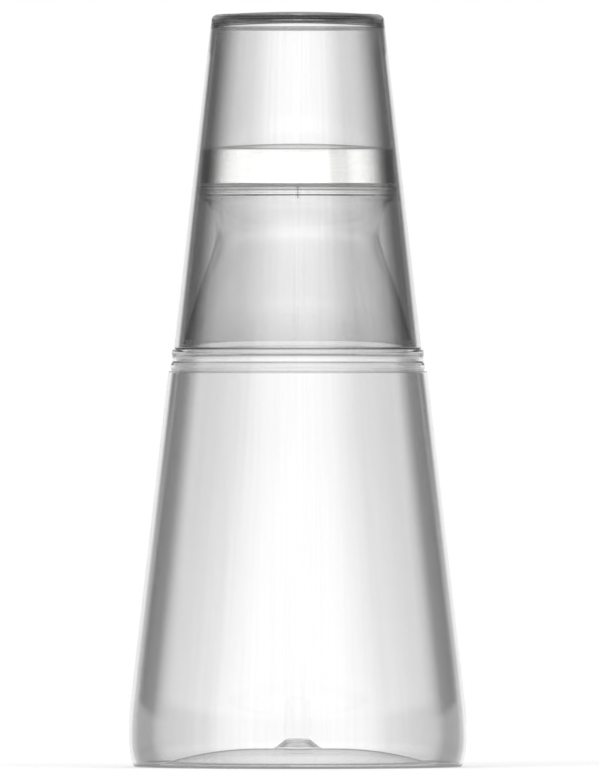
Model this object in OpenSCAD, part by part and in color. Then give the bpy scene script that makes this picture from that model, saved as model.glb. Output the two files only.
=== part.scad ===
// Bedside water carafe: a clear tapering carafe, a push-in lid and a tumbler that stands upside down
// over the neck. Millimetres, +Z up, origin at the middle of the foot. Every piece is a turned profile,
// whose points are pairs of radius and height.

/* [Carafe body] */
// Widest diameter, just above the foot
heel_d = 112; // [100:0.5:126]
// Height of the widest place above the foot
heel_z = 9; // [6:0.5:16]
// Radius of the curve from the widest place down to the foot, seen from the side
heel_round = 24; // [18:1:40]
// Radius of the curve from the widest place up to the straight taper, seen from the side
taper_round = 115; // [60:5:180]
// Height of the shelf that ends the plain body
body_h = 130.9; // [95:0.1:170]
// Wall thickness of the body and the neck
wall = 1.3; // [0.9:0.1:1.8]
// Radius of the small outer edge of the foot
foot_edge = 1.2; // [0.6:0.1:2]
// Radius of the curve between the inner wall and the floor
inner_heel_round = 5; // [3:0.5:8]

/* [Push-up under the base] */
// Diameter of the hollow inside the foot ring
punt_d = 89.2; // [70:0.2:92]
// Height of the hollow above the surface it stands on
punt_h = 5.2; // [3:0.1:9]
// Diameter of the level middle of the hollow
punt_flat_d = 24; // [18:0.5:40]
// Thickness of the floor over the hollow
floor_t = 1; // [0.8:0.1:2]
// Diameter of the gate nub where it leaves the floor
nub_foot_d = 16.2; // [13:0.1:17]
// Diameter of the gate nub at its top
nub_top_d = 6.6; // [5.6:0.1:9]
// Height of the gate nub above the floor
nub_h = 3.2; // [2:0.1:5]
// Diameter of the dimple in the nub's top
dimple_d = 4.8; // [3:0.1:5.2]
// Depth of the dimple
dimple_depth = 1; // [0.5:0.1:1.6]

/* [Ribbed band] */
// Height from the shelf to the ledge that carries the tumbler
band_h = 7.2; // [6.8:0.1:12]
// Number of bead rings on the band
bead_count = 2; // [1:1:2]
// Distance between two bead rings
bead_pitch = 3.5; // [3:0.1:3.8]
// Width of a bead ring along the band
bead_w = 2; // [1.6:0.1:2.9]
// How far a bead ring stands out of the band
bead_proud = 0.5; // [0.3:0.05:0.9]
// How far the band widens from the ledge down to the shelf
band_flare = 0.7; // [0.2:0.1:1.5]
// Width of the shelf outside the band
shelf_w = 0.9; // [0.5:0.1:2]

/* [Neck] */
// Diameter of the neck where it meets the ledge
neck_foot_d = 77; // [70:0.5:86]
// Diameter of the narrowest place
waist_d = 54.2; // [50:0.2:57]
// Height of the narrowest place above the ledge
waist_h = 40.2; // [32:0.2:52]
// How far the neck keeps the waist's upright direction below the waist
waist_pull = 6; // [3:0.5:12]
// How far the neck keeps its slope above the ledge
neck_pull = 24; // [12:0.5:30]
// Slope of the neck where it meets the ledge, from the upright
neck_slope = 13; // [5:1:20]
// Height from the waist to the underside of the flange
throat_h = 9.7; // [7:0.1:14]
// Slope of the throat under the flange, from the upright
throat_slope = 51.5; // [40:0.5:58]
// Inner diameter of the mouth
mouth_d = 56.2; // [52:0.2:62]
// Thickness of the plain finish that the lid goes over
finish_wall = 1.5; // [1.2:0.1:2.5]
// Height of the finish above the flange
finish_h = 10.1; // [8:0.1:14]
// Thickness of the flange that the lid stands on
flange_h = 1.2; // [0.8:0.1:2]
// Thickness of the collar ring under the flange
collar_h = 2.3; // [1.4:0.1:3]
// Depth of the grooves above and below the collar ring
collar_groove = 0.45; // [0.2:0.05:0.8]
// Height of the groove between the flange and the collar ring
groove_h = 0.4; // [0.3:0.05:1]
// How far the flange stands out past the lid
flange_proud = 0.3; // [0.1:0.05:0.4]
// Width of the parting line across the flange
parting_w = 0.4; // [0.2:0.05:0.8]
// How far the parting line stands out
parting_proud = 0.15; // [0.1:0.01:0.3]

/* [Lid] */
// Thickness of the shell
shell_t = 0.6; // [0.4:0.05:0.9]
// Thickness of the insert's outer skirt
skirt_t = 1.1; // [1:0.1:2.2]
// Height of the shadow gap between the shell and the flange
shadow_gap = 0.8; // [0.5:0.1:1.2]
// Depth of the shadow gap
shadow_depth = 0.7; // [0.5:0.05:0.9]
// How far the lid's side goes up above the mouth
lid_shoulder = 1.9; // [1.6:0.1:4]
// Rise of the domed top from its edge to its middle
lid_dome = 1.5; // [0.8:0.1:3]
// Radius of the shell's top edge
lid_edge = 0.9; // [0.7:0.1:1.4]
// Depth of the plug in the mouth
plug_depth = 8; // [6:0.1:9]
// Wall thickness of the plug
plug_wall = 2.2; // [1.8:0.1:3]
// Gap between the plug and the mouth
plug_gap = 0.8; // [0.5:0.05:1]
// Height of the seal ring
seal_h = 3; // [2:0.1:3.6]
// How far the seal ring sits in the plug
seal_depth = 0.9; // [0.6:0.05:1.2]
// Gap between the seal ring and the mouth
seal_gap = 0.15; // [0.1:0.05:0.3]

/* [Tumbler] */
// Wall thickness of the tumbler
tumbler_wall = 1.4; // [0.9:0.1:2.2]
// Free height over the lid's middle
headroom = 40.6; // [20:0.2:70]
// Thickness of the tumbler's base
tumbler_base_t = 3.1; // [2:0.1:5]
// Rise of the domed base from its edge to its middle
base_dome = 0.9; // [0.4:0.1:2]
// Rise of the domed ceiling inside, from its edge to its middle
ceiling_dome = 1.2; // [0.4:0.1:2]
// Radius of the outer edge of the base
base_edge = 2.4; // [1.6:0.1:3.2]
// Radius of the inner edge of the base
base_inner_edge = 1.6; // [1:0.1:2.4]
// Radius of the two edges of the drinking rim
rim_edge = 0.4; // [0.2:0.05:0.45]
// Diameter of the gate mark inside the base
gate_d = 4.2; // [3:0.1:6]
// Height of the gate mark inside the base
gate_h = 0.8; // [0.4:0.1:1.4]
// Diameter of the dimple outside the base
gate_dimple_d = 3; // [2:0.1:4]
// Depth of the dimple outside the base
gate_dimple_depth = 0.5; // [0.3:0.05:0.9]

/* [Fits] */
// Gap between the neck and the inside of the tumbler's rim
rim_gap = 1; // [0.6:0.05:2]
// How far the ledge reaches past the tumbler's rim
ledge_lip = 0.3; // [0:0.05:1]
// Gap between the lid and the inside of the tumbler
lid_gap = 0.5; // [0.4:0.05:1.2]
// Running gap between the lid insert and the finish
insert_gap = 0.3; // [0.2:0.05:0.5]

/* [Hidden] */
$fn = 96;
edge_steps = 4; // straight pieces in a fine edge
arc_steps = 6; // straight pieces in a small arc
curve_steps = 14; // straight pieces in a long curve

heel_r = heel_d / 2;
mouth_r = mouth_d / 2;
finish_r = mouth_r + finish_wall;
waist_r = waist_d / 2;

// Heights from the foot up
ledge_z = body_h + band_h;
waist_z = ledge_z + waist_h;
throat_z = waist_z + throat_h;
collar_top_z = throat_z + collar_h;
flange_bottom_z = collar_top_z + groove_h;
flange_z = flange_bottom_z + flange_h;
mouth_z = flange_z + finish_h;
shell_bottom_z = flange_z + shadow_gap;
lid_side_z = mouth_z + lid_shoulder;
lid_top_z = lid_side_z + lid_edge + lid_dome;
ceiling_z = lid_top_z + headroom;
tumbler_top_z = ceiling_z + tumbler_base_t;

// The tumbler's inside runs in a straight line past the neck's foot and the lid's shoulder
rim_inner_r = neck_foot_d / 2 + rim_gap;
skirt_inner_r = finish_r + insert_gap;
lid_side_r = skirt_inner_r + skirt_t + shell_t;
tumbler_slope = (rim_inner_r - lid_side_r - lid_gap) / (lid_side_z - ledge_z);
function tumbler_inner_r(z) = rim_inner_r - tumbler_slope * (z - ledge_z);
function tumbler_outer_r(z) = tumbler_inner_r(z) + tumbler_wall;
function lid_r(z) = tumbler_inner_r(z) - lid_gap;

// Radii of the band and the flange, which follow what stands on them
ledge_r = tumbler_outer_r(ledge_z) + ledge_lip;
band_foot_r = ledge_r + band_flare;
shelf_r = band_foot_r + shelf_w;
flange_r = lid_r(shell_bottom_z) + flange_proud;
throat_round = throat_h / sin(throat_slope);
throat_r = waist_r + throat_round * (1 - cos(throat_slope));

// Points along an arc round a centre, from one angle to another
function arc(centre, r, from, to, steps = arc_steps) =
    [for (i = [0:steps]) centre + r * [cos(from + (to - from) * i / steps),
                                       sin(from + (to - from) * i / steps)]];

// Point at share t of the curve that four handles span
function bezier_at(h, t) = pow(1 - t, 3) * h[0] + 3 * pow(1 - t, 2) * t * h[1]
    + 3 * (1 - t) * t * t * h[2] + pow(t, 3) * h[3];
function bezier(h, steps = curve_steps) = [for (i = [0:steps]) bezier_at(h, i / steps)];

// Points over a shallow dome of the given rise, from inside its edge to a smaller radius
function dome_point(z, rise, edge_r, r) = [r, z + rise * (1 - pow(r / edge_r, 2))];
function dome(z, rise, edge_r, to_r = 0, steps = curve_steps) =
    [for (i = [1:steps]) dome_point(z, rise, edge_r, edge_r + (to_r - edge_r) * i / steps)];
// Direction in which the dome's edge faces, where the rounded edge ends
function dome_edge_angle(rise, edge_r) = 90 - atan(2 * rise / edge_r);

function tail(points) = [for (i = [1:len(points) - 1]) points[i]];
function reversed(points) = [for (i = [len(points) - 1:-1:0]) points[i]];

// Points moved by t, square to their line: inwards, for an outer wall that is drawn from the foot up
function unit(v) = v / norm(v);
function square_to(p, i) = let (a = p[max(i - 1, 0)], b = p[min(i + 1, len(p) - 1)], d = unit(b - a)) [-d[1], d[0]];
function inset(p, t) = [for (i = [0:len(p) - 1]) p[i] + t * square_to(p, i)];

module turned(points) {
    rotate_extrude()
        polygon(points);
}

// Outer wall from the foot up to the shelf: the foot's edge, the heel curve and the straight taper
heel_angle = asin((heel_z - foot_edge) / (heel_round - foot_edge));
foot_centre_r = heel_r - heel_round + (heel_round - foot_edge) * cos(heel_angle);
taper_run = shelf_r - heel_r + taper_round;
taper_rise = body_h - heel_z;
taper_angle = atan2(taper_rise, taper_run) - acos(taper_round / norm([taper_run, taper_rise]));
heel_points = arc([heel_r - heel_round, heel_z], heel_round, -heel_angle, 0);
taper_points = arc([heel_r - taper_round, heel_z], taper_round, 0, taper_angle);
body_outer = concat(
    arc([foot_centre_r, foot_edge], foot_edge, -90, -heel_angle),
    tail(heel_points),
    tail(taper_points),
    [[shelf_r, body_h]]);

// Ribbed band with its bead rings, up to the ledge
function band_r(z) = ledge_r + band_flare * (ledge_z - z) / band_h;
bead_round = (pow(bead_w / 2, 2) + pow(bead_proud, 2)) / (2 * bead_proud);
bead_angle = asin(bead_w / 2 / bead_round);
first_bead_z = ledge_z - bead_w / 2 - bead_pitch * (bead_count - 1);
function bead(z) = arc([band_r(z) + bead_proud - bead_round, z], bead_round, -bead_angle, bead_angle);
band_outer = concat(
    [[band_foot_r, body_h]],
    [for (i = [0:bead_count - 1]) each bead(first_bead_z + i * bead_pitch)]);

// Neck from the ledge to the flange
neck_handles = [
    [neck_foot_d / 2, ledge_z],
    [neck_foot_d / 2 - neck_pull * sin(neck_slope), ledge_z + neck_pull * cos(neck_slope)],
    [waist_r, waist_z - waist_pull],
    [waist_r, waist_z]];
neck_low = bezier(neck_handles);
neck_high = arc([waist_r + throat_round, waist_z], throat_round, 180, 180 - throat_slope);
neck_outer = concat(neck_low, tail(neck_high));

// Collar ring, flange, finish and mouth
collar_outer = [
    [flange_r - 2 * collar_groove, throat_z],
    [flange_r - collar_groove / 2, throat_z + collar_groove],
    [flange_r - collar_groove / 2, collar_top_z],
    [flange_r - collar_groove, collar_top_z],
    [flange_r - collar_groove, flange_bottom_z],
    [flange_r, flange_bottom_z],
    [flange_r, flange_z - flange_h / 4],
    [flange_r - flange_h / 4, flange_z],
    [finish_r, flange_z]];
mouth_round = finish_wall / 4;
mouth_outer = concat(
    arc([finish_r - mouth_round, mouth_z - mouth_round], mouth_round, 0, 90, edge_steps),
    arc([mouth_r + mouth_round, mouth_z - mouth_round], mouth_round, 90, 180, edge_steps));

// Inside of the carafe, from the mouth down to the floor
throat_inner = bezier([
    [mouth_r, throat_z],
    [mouth_r, throat_z - throat_h / 3],
    [waist_r - wall, waist_z + throat_h / 3],
    [waist_r - wall, waist_z]], arc_steps);
neck_inner = reversed(inset(neck_low, wall));
band_inner = [
    [ledge_r - wall - bead_proud, ledge_z - 2 * wall],
    [shelf_r - wall, body_h - wall]];
floor_z = punt_h + floor_t;
punt_r = punt_d / 2;
punt_flat_r = punt_flat_d / 2;
punt_run = punt_r - punt_flat_r;
punt_round = (pow(punt_run, 2) + pow(punt_h, 2)) / (2 * punt_h);
punt_angle = asin(punt_run / punt_round);
function punt_arc(lift, angle, steps) =
    arc([punt_flat_r, punt_h - punt_round], punt_round + lift, 90 - angle, 90, steps);
floor_angle = acos((punt_round - punt_h + floor_t) / (punt_round + floor_t));
inner_heel_centre = [heel_r - wall - inner_heel_round, floor_t + inner_heel_round];
body_inner = concat(
    [for (p = reversed(tail(taper_points))) p - [wall, 0]],
    arc(inner_heel_centre, inner_heel_round, 0, -90),
    punt_arc(floor_t, floor_angle, curve_steps));
nub_inner = [
    [nub_foot_d / 2, floor_z],
    [nub_foot_d / 2 - nub_h / 4, floor_z + nub_h / 12],
    [nub_top_d / 2 + nub_h / 3, floor_z + nub_h - nub_h / 6],
    [nub_top_d / 2, floor_z + nub_h],
    [dimple_d / 2, floor_z + nub_h],
    [dimple_d / 2 - dimple_depth / 3, floor_z + nub_h - dimple_depth],
    [0, floor_z + nub_h - dimple_depth]];

// Underside of the base, with the hollow under the nub
under_rise = nub_h - dimple_depth - floor_t / 2;
underside = concat(
    [[0, punt_h + under_rise], [nub_top_d / 4, punt_h + under_rise], [nub_foot_d / 2 - floor_t, punt_h]],
    reversed(punt_arc(0, punt_angle, curve_steps)));

carafe_profile = concat(
    underside, body_outer, band_outer, neck_outer, collar_outer,
    mouth_outer, throat_inner, tail(neck_inner), band_inner, body_inner, nub_inner);

// The mould's parting line shows as a fine upright ridge across the flange, front and back
module parting_line() {
    ridge_root = collar_groove * 3;
    ridge_z = throat_z + collar_groove;
    ridge_r = flange_r + parting_proud - ridge_root / 2;
    for (side = [-1, 1])
        translate([-parting_w / 2, side * ridge_r - ridge_root / 2, ridge_z])
            cube([parting_w, ridge_root, flange_z - flange_h / 4 - ridge_z]);
}

module carafe() {
    color([0.93, 0.94, 0.95, 0.35]) {
        turned(carafe_profile);
        parting_line();
    }
}

// Outside of the shell, from its hem to the middle of its top
wall_angle = atan(tumbler_slope);
hem_z = shell_bottom_z + shell_t;
hem_r = lid_r(shell_bottom_z);
hem_inner_r = hem_r - shell_t - shadow_depth / 2;
lid_edge_r = lid_r(lid_side_z) - lid_edge;
lid_edge_centre = [lid_edge_r, lid_side_z];
lid_edge_stop = dome_edge_angle(lid_dome, lid_edge_r);
shell_top_z = lid_side_z + lid_edge;
shell_outer = concat(
    [[hem_r - shell_t / 3, shell_bottom_z], [hem_r, shell_bottom_z + shell_t / 3]],
    arc(lid_edge_centre, lid_edge, wall_angle, lid_edge_stop),
    dome(shell_top_z, lid_dome, lid_edge_r));
// Inside of the shell, which the insert fills
shell_lining = concat(
    [[lid_r(hem_z) - shell_t, hem_z]],
    arc(lid_edge_centre, lid_edge - shell_t, wall_angle, lid_edge_stop),
    dome(shell_top_z - shell_t, lid_dome, lid_edge_r));

module lid_shell() {
    color([0.86, 0.87, 0.88])
        turned(concat(shell_outer, reversed(shell_lining), [[hem_inner_r, hem_z], [hem_inner_r, shell_bottom_z]]));
}

// Insert: it fills the shell, its skirt goes outside the finish and its plug inside
plug_r = mouth_r - plug_gap;
plug_inner_r = plug_r - plug_wall;
plug_bottom_z = mouth_z - plug_depth;
seal_bottom_z = plug_bottom_z + (plug_depth - seal_h) / 2;
seal_top_z = seal_bottom_z + seal_h;
deck_z = mouth_z + insert_gap;
seal_inner_r = plug_r - seal_depth;
insert_outer = concat([[hem_inner_r, flange_z], [hem_inner_r, hem_z]], shell_lining);
insert_under = [
    [0, deck_z],
    [plug_inner_r, deck_z],
    [plug_inner_r, plug_bottom_z],
    [plug_r - insert_gap, plug_bottom_z],
    [plug_r, plug_bottom_z + insert_gap],
    [plug_r, seal_bottom_z],
    [seal_inner_r, seal_bottom_z],
    [seal_inner_r, seal_top_z],
    [plug_r, seal_top_z],
    [plug_r, deck_z],
    [skirt_inner_r, deck_z],
    [skirt_inner_r, flange_z]];

module lid_insert() {
    color([0.95, 0.95, 0.94])
        turned(concat(insert_outer, insert_under));
}

// The ring's outer face bulges towards the mouth
seal_r = mouth_r - seal_gap;
seal_round = seal_h / 3;
seal_bulge_angle = 60;

module lid_seal() {
    color([0.9, 0.9, 0.88])
        turned(concat(
            [[seal_inner_r, seal_bottom_z], [plug_r, seal_bottom_z]],
            arc([seal_r - seal_round, seal_bottom_z + seal_h / 2], seal_round, -seal_bulge_angle, seal_bulge_angle),
            [[plug_r, seal_top_z], [seal_inner_r, seal_top_z]]));
}

// Tumbler: rim, tapering wall, base edge, domed base and gate mark
base_edge_z = tumbler_top_z - base_dome - base_edge;
base_edge_r = tumbler_outer_r(base_edge_z) - base_edge;
inner_edge_z = ceiling_z - ceiling_dome - base_inner_edge;
inner_edge_r = tumbler_inner_r(inner_edge_z) - base_inner_edge;
gate_r = gate_d / 2;
gate_dimple_r = gate_dimple_d / 2;
rim_centre_z = ledge_z + rim_edge;
tumbler_outside = concat(
    arc([tumbler_outer_r(ledge_z) - rim_edge, rim_centre_z], rim_edge, -90, wall_angle, edge_steps),
    arc([base_edge_r, base_edge_z], base_edge, wall_angle, dome_edge_angle(base_dome, base_edge_r)),
    dome(base_edge_z + base_edge, base_dome, base_edge_r, gate_dimple_r),
    [[gate_dimple_r - gate_dimple_depth / 2, tumbler_top_z - gate_dimple_depth],
     [0, tumbler_top_z - gate_dimple_depth]]);
tumbler_inside = concat(
    [[0, ceiling_z - gate_h], [gate_r - gate_h / 3, ceiling_z - gate_h], [gate_r, ceiling_z - gate_h / 2]],
    reversed(dome(inner_edge_z + base_inner_edge, ceiling_dome, inner_edge_r, gate_r)),
    reversed(arc([inner_edge_r, inner_edge_z], base_inner_edge, wall_angle, dome_edge_angle(ceiling_dome, inner_edge_r))),
    arc([rim_inner_r + rim_edge, rim_centre_z], rim_edge, 180 + wall_angle, 270, edge_steps));

module tumbler() {
    color([0.93, 0.94, 0.95, 0.35])
        turned(concat(tumbler_outside, tumbler_inside));
}

carafe();
lid_shell();
lid_insert();
lid_seal();
tumbler();
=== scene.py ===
# %% [markdown]
# A clear water carafe with its lid and tumbler.
#
# The real set is five pieces. A thin clear carafe stands on a ring foot. A bright metal lid with a
# white insert and a soft seal closes its mouth. A clear tumbler is turned over the neck, and its rim
# stands on a ledge above a ribbed band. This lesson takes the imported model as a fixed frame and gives
# each piece a finer surface and the finish of the real material.

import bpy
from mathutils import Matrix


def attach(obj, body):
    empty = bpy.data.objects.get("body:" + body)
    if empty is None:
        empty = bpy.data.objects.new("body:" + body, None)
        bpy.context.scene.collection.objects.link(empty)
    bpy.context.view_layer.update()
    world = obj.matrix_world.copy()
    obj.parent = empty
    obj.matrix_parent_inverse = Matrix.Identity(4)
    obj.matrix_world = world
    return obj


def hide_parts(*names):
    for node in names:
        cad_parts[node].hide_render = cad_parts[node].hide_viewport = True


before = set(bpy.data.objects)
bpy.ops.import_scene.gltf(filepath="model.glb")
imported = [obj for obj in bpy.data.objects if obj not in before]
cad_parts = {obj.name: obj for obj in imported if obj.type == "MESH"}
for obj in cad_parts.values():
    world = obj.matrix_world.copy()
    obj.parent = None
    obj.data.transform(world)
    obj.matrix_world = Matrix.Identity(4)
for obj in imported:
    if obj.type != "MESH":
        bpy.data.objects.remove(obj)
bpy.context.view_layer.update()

# %% [markdown]
# Units and small helpers.
#
# The frame is in metres, while a maker thinks in millimetres, so every size here is a number of
# millimetres times MM. Colours are written as the hex values that a screen shows. Blender's shaders
# work with linear light, so one function turns hex into linear. One more function adds a node to a
# tree, whether the tree makes a shape or a finish.

# %% Units, colours and nodes
import math

import bpy
from mathutils import Vector

MM = 0.001


def linear(hex_colour, alpha=1.0):
    """An sRGB hex colour as the linear colour that a shader takes."""
    shares = [int(hex_colour[i : i + 2], 16) / 255 for i in (1, 3, 5)]
    return [s / 12.92 if s <= 0.04045 else ((s + 0.055) / 1.055) ** 2.4 for s in shares] + [alpha]


def add_node(tree, kind, inputs=(), stops=(), **settings):
    """Adds a node with its settings. A node or a socket among its inputs is linked, the rest are values."""
    node = tree.nodes.new(kind)
    for name, value in settings.items():
        setattr(node, name, value)
    by_key = inputs if isinstance(inputs, dict) else dict(enumerate(inputs))
    for key, value in by_key.items():
        if isinstance(value, bpy.types.Node):
            value = value.outputs[0]
        if isinstance(value, bpy.types.NodeSocket):
            tree.links.new(value, node.inputs[key])
        else:
            node.inputs[key].default_value = value
    for i, (place, colour) in enumerate(stops):
        ramp = node.color_ramp.elements
        stop = ramp[i] if i < len(ramp) else ramp.new(place)
        stop.position = place
        stop.color = colour
    return node


print("mid grey #808080 in linear light:", [round(v, 3) for v in linear("#808080")])

# %% [markdown]
# The camera.
#
# The photograph looks at the set dead level and from far away: the foot, the shelf and the flange
# all show as straight lines. An orthographic camera would give that too, but a very long lens keeps
# the slight perspective of a real one. The distance follows from the lens and from how tall the
# photograph's frame is at the object. The camera's height and side step follow from where the
# frame's middle lies.

# %% Camera at the photograph's angle
photo_w, photo_h = 599, 779  # pixels
foot_line_px = 766.84
axis_px = 297.8
mm_per_pixel = 0.331
lens_mm = 1280
sensor_mm = 36  # Blender lays it along the frame's longer side, here the height
far_clip = 100  # metres
frame_height = photo_h * mm_per_pixel * MM

camera_data = bpy.data.cameras.new("photo_camera")
camera_data.lens = lens_mm
camera_data.sensor_width = sensor_mm
camera_data.clip_end = far_clip
camera = bpy.data.objects.new("photo_camera", camera_data)
camera.location = (
    (photo_w / 2 - axis_px) * mm_per_pixel * MM,
    -frame_height * lens_mm / sensor_mm,
    (foot_line_px - photo_h / 2) * mm_per_pixel * MM,
)
camera.rotation_euler = (math.radians(90), 0, 0)
bpy.context.scene.collection.objects.link(camera)
bpy.context.scene.camera = camera
print("camera stands", round(-camera.location.y, 2), "m away, at", round(camera.location.z / MM, 1), "mm")

# %% [markdown]
# Outlines of turned pieces.
#
# Each piece is a body of revolution, so its shape is half of its cross-section: points of radius and
# height. Straight stretches need only their ends. Round stretches come from an arc, a curve with
# four handles, or a shallow dome. Hardly any moulded corner is quite sharp, so a point may carry a
# third number, the radius that rounds it: that is what catches a fine line of light. A few inner
# corners have none and stay crisp.

# %% Helpers for outlines
ARC_STEPS = 10
CURVE_STEPS = 28
CORNER_STEPS = 4


def arc(centre, radius, start, stop, steps=ARC_STEPS):
    """Points along an arc round a centre, between two angles in degrees."""
    angles = [math.radians(start + (stop - start) * i / steps) for i in range(steps + 1)]
    return [(centre[0] + radius * math.cos(a), centre[1] + radius * math.sin(a)) for a in angles]


def bezier(handles, steps=CURVE_STEPS):
    """Points along the curve that four handles span."""
    points = []
    for i in range(steps + 1):
        t = i / steps
        shares = ((1 - t) ** 3, 3 * (1 - t) ** 2 * t, 3 * (1 - t) * t * t, t**3)
        points.append(tuple(sum(s * h[axis] for s, h in zip(shares, handles)) for axis in (0, 1)))
    return points


def dome(edge_z, rise, edge_r, to_r=0.0, steps=CURVE_STEPS):
    """Points over a shallow dome, from just inside its edge to a smaller radius."""
    radii = [edge_r + (to_r - edge_r) * i / steps for i in range(1, steps + 1)]
    return [(r, edge_z + rise * (1 - (r / edge_r) ** 2)) for r in radii]


def dome_edge_angle(rise, edge_r):
    """The direction in which a dome's edge faces, in degrees."""
    return 90 - math.degrees(math.atan(2 * rise / edge_r))


print("an arc has", ARC_STEPS, "pieces, a long curve", CURVE_STEPS)

# %% [markdown]
# Rounding and guarding.
#
# A Bevel modifier could round the corners of the finished mesh, but it would round them all alike.
# Here the outline itself is rounded, each marked corner by its own radius. A second function adds a
# row of points close to both ends of every long straight. Smooth shading blends the direction of
# light across each face, and such a guard row keeps that blend at the corner, so that the straight
# stays straight to the eye.

# %% Round the corners
MOST_OF_A_SIDE = 0.45  # a rounding takes no more than this share of the straight beside it


def round_corners(points):
    """Turns each point that has a third number into a small arc of that radius."""
    rounded = []
    for i, point in enumerate(points):
        if len(point) == 2 or i in (0, len(points) - 1):
            rounded.append(point[:2])
            continue
        corner = Vector(point[:2])
        back = Vector(points[i - 1][:2]) - corner
        ahead = Vector(points[i + 1][:2]) - corner
        half_turn = back.angle(ahead) / 2
        room = MOST_OF_A_SIDE * min(back.length, ahead.length)
        reach = min(point[2] / math.tan(half_turn), room)
        middle = (back.normalized() + ahead.normalized()).normalized()
        radius = reach * math.tan(half_turn)
        centre = corner + middle * (radius / math.sin(half_turn))
        spoke = corner + back.normalized() * reach - centre
        sweep = spoke.angle_signed(corner + ahead.normalized() * reach - centre)
        for step in range(CORNER_STEPS + 1):
            turn = -sweep * step / CORNER_STEPS
            rounded.append((
                centre.x + spoke.x * math.cos(turn) - spoke.y * math.sin(turn),
                centre.y + spoke.x * math.sin(turn) + spoke.y * math.cos(turn),
            ))
    return rounded


square = round_corners([(0, 0), (10 * MM, 0, 2 * MM), (10 * MM, 10 * MM)])
print("a square corner becomes", len(square), "points")

# %% Guard the straights
GUARD = 0.12 * MM
LONGEST = 10 * MM
SHARP_TURN = math.radians(4)


def guard_straights(points):
    """Adds a row near each end of a straight where the outline turns, and rows along a very long one."""
    places = [Vector(point) for point in points]
    guarded = [points[0]]
    for i, (a, b) in enumerate(zip(places, places[1:])):
        run = b - a
        if run.length > 4 * GUARD:
            share = GUARD / run.length
            pieces = math.ceil(run.length / LONGEST)
            turns_before = i > 0 and (a - places[i - 1]).angle(run) > SHARP_TURN
            turns_after = i + 2 < len(places) and run.angle(places[i + 2] - b) > SHARP_TURN
            near_start = [share] * turns_before
            between = [k / pieces for k in range(1, pieces)]
            near_end = [1 - share] * turns_after
            guarded += [tuple(a.lerp(b, s)) for s in near_start + between + near_end]
        guarded.append(points[i + 1])
    return guarded


print("with guards it has", len(guard_straights(square)))

# %% [markdown]
# Turning an outline with Geometry Nodes.
#
# A lathe could be the Screw modifier, the Spin tool or a sweep of a curve. Here a node tree does it,
# because the rule is short: lay out a grid with one row for each point of the outline and one column
# for each step round the axis, then move every grid point to its radius, height and angle. The columns
# can be crowded together at the front and back, where the carafe's fine parting line needs them.
# Smooth shading would smear light across a crisp corner, so edges that turn sharply are marked.

# %% Start and end of a geometry tree
def new_geometry_tree(name, sizes):
    """A geometry tree with a mesh input, its named sizes, and a mesh output."""
    tree = bpy.data.node_groups.new(name, "GeometryNodeTree")
    tree.interface.new_socket("Mesh", in_out="INPUT", socket_type="NodeSocketGeometry")
    for size_name, socket_type, value in sizes:
        socket = tree.interface.new_socket(size_name, in_out="INPUT", socket_type=socket_type)
        socket.default_value = value
    tree.interface.new_socket("Finish", in_out="INPUT", socket_type="NodeSocketMaterial")
    tree.interface.new_socket("Mesh", in_out="OUTPUT", socket_type="NodeSocketGeometry")
    return tree


def end_geometry_tree(tree, mesh, finish):
    """Ends a tree with real geometry that wears the finish."""
    real = add_node(tree, "GeometryNodeRealizeInstances", {"Geometry": mesh})
    laid_on = add_node(tree, "GeometryNodeSetMaterial", {"Geometry": real, "Material": finish})
    add_node(tree, "NodeGroupOutput", {"Mesh": laid_on})


print("node trees so far:", len(bpy.data.node_groups))

# %% Steps of the lathe
def outline_point(tree, outline, row):
    """The point of the outline that a row of the grid stands for."""
    sampled = add_node(tree, "GeometryNodeSampleIndex", {"Geometry": outline, "Index": row},
                       data_type="FLOAT_VECTOR")
    place = add_node(tree, "GeometryNodeInputPosition")
    value_in = next(s for s in sampled.inputs if s.name == "Value" and s.enabled)
    tree.links.new(place.outputs[0], value_in)
    value_out = next(s for s in sampled.outputs if s.enabled)
    return add_node(tree, "ShaderNodeSeparateXYZ", [value_out]).outputs


def crowded_angle(tree, column, columns, crowding):
    """A column's angle round the axis, drawn towards the front or the back by the crowding."""
    turn_share = add_node(tree, "ShaderNodeMath", [column, columns], operation="DIVIDE")
    even = add_node(tree, "ShaderNodeMath", [turn_share, 2 * math.pi], operation="MULTIPLY")
    wave = add_node(tree, "ShaderNodeMath", [even, 2], operation="MULTIPLY")
    wave = add_node(tree, "ShaderNodeMath", [wave], operation="SINE")
    half_crowding = add_node(tree, "ShaderNodeMath", [crowding, 2], operation="DIVIDE")
    pull = add_node(tree, "ShaderNodeMath", [wave, half_crowding], operation="MULTIPLY")
    return add_node(tree, "ShaderNodeMath", [even, pull], operation="SUBTRACT")


def mark_sharp_edges(tree, mesh, sharp_from):
    """Marks the edges that turn by more than an angle, so that smooth shading leaves them crisp."""
    edge_angle = add_node(tree, "GeometryNodeInputMeshEdgeAngle").outputs["Unsigned Angle"]
    is_sharp = add_node(tree, "ShaderNodeMath", [edge_angle, sharp_from], operation="GREATER_THAN")
    marked = add_node(tree, "GeometryNodeStoreNamedAttribute", {"Geometry": mesh, "Name": "sharp_edge"},
                      data_type="BOOLEAN", domain="EDGE")
    value_in = next(s for s in marked.inputs if s.name == "Value" and s.enabled)
    tree.links.new(is_sharp.outputs[0], value_in)
    return marked


carafe_crowding = 0.7
print("at the front, the carafe's columns lie", round(1 / (1 - carafe_crowding), 1), "times as close")

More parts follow.
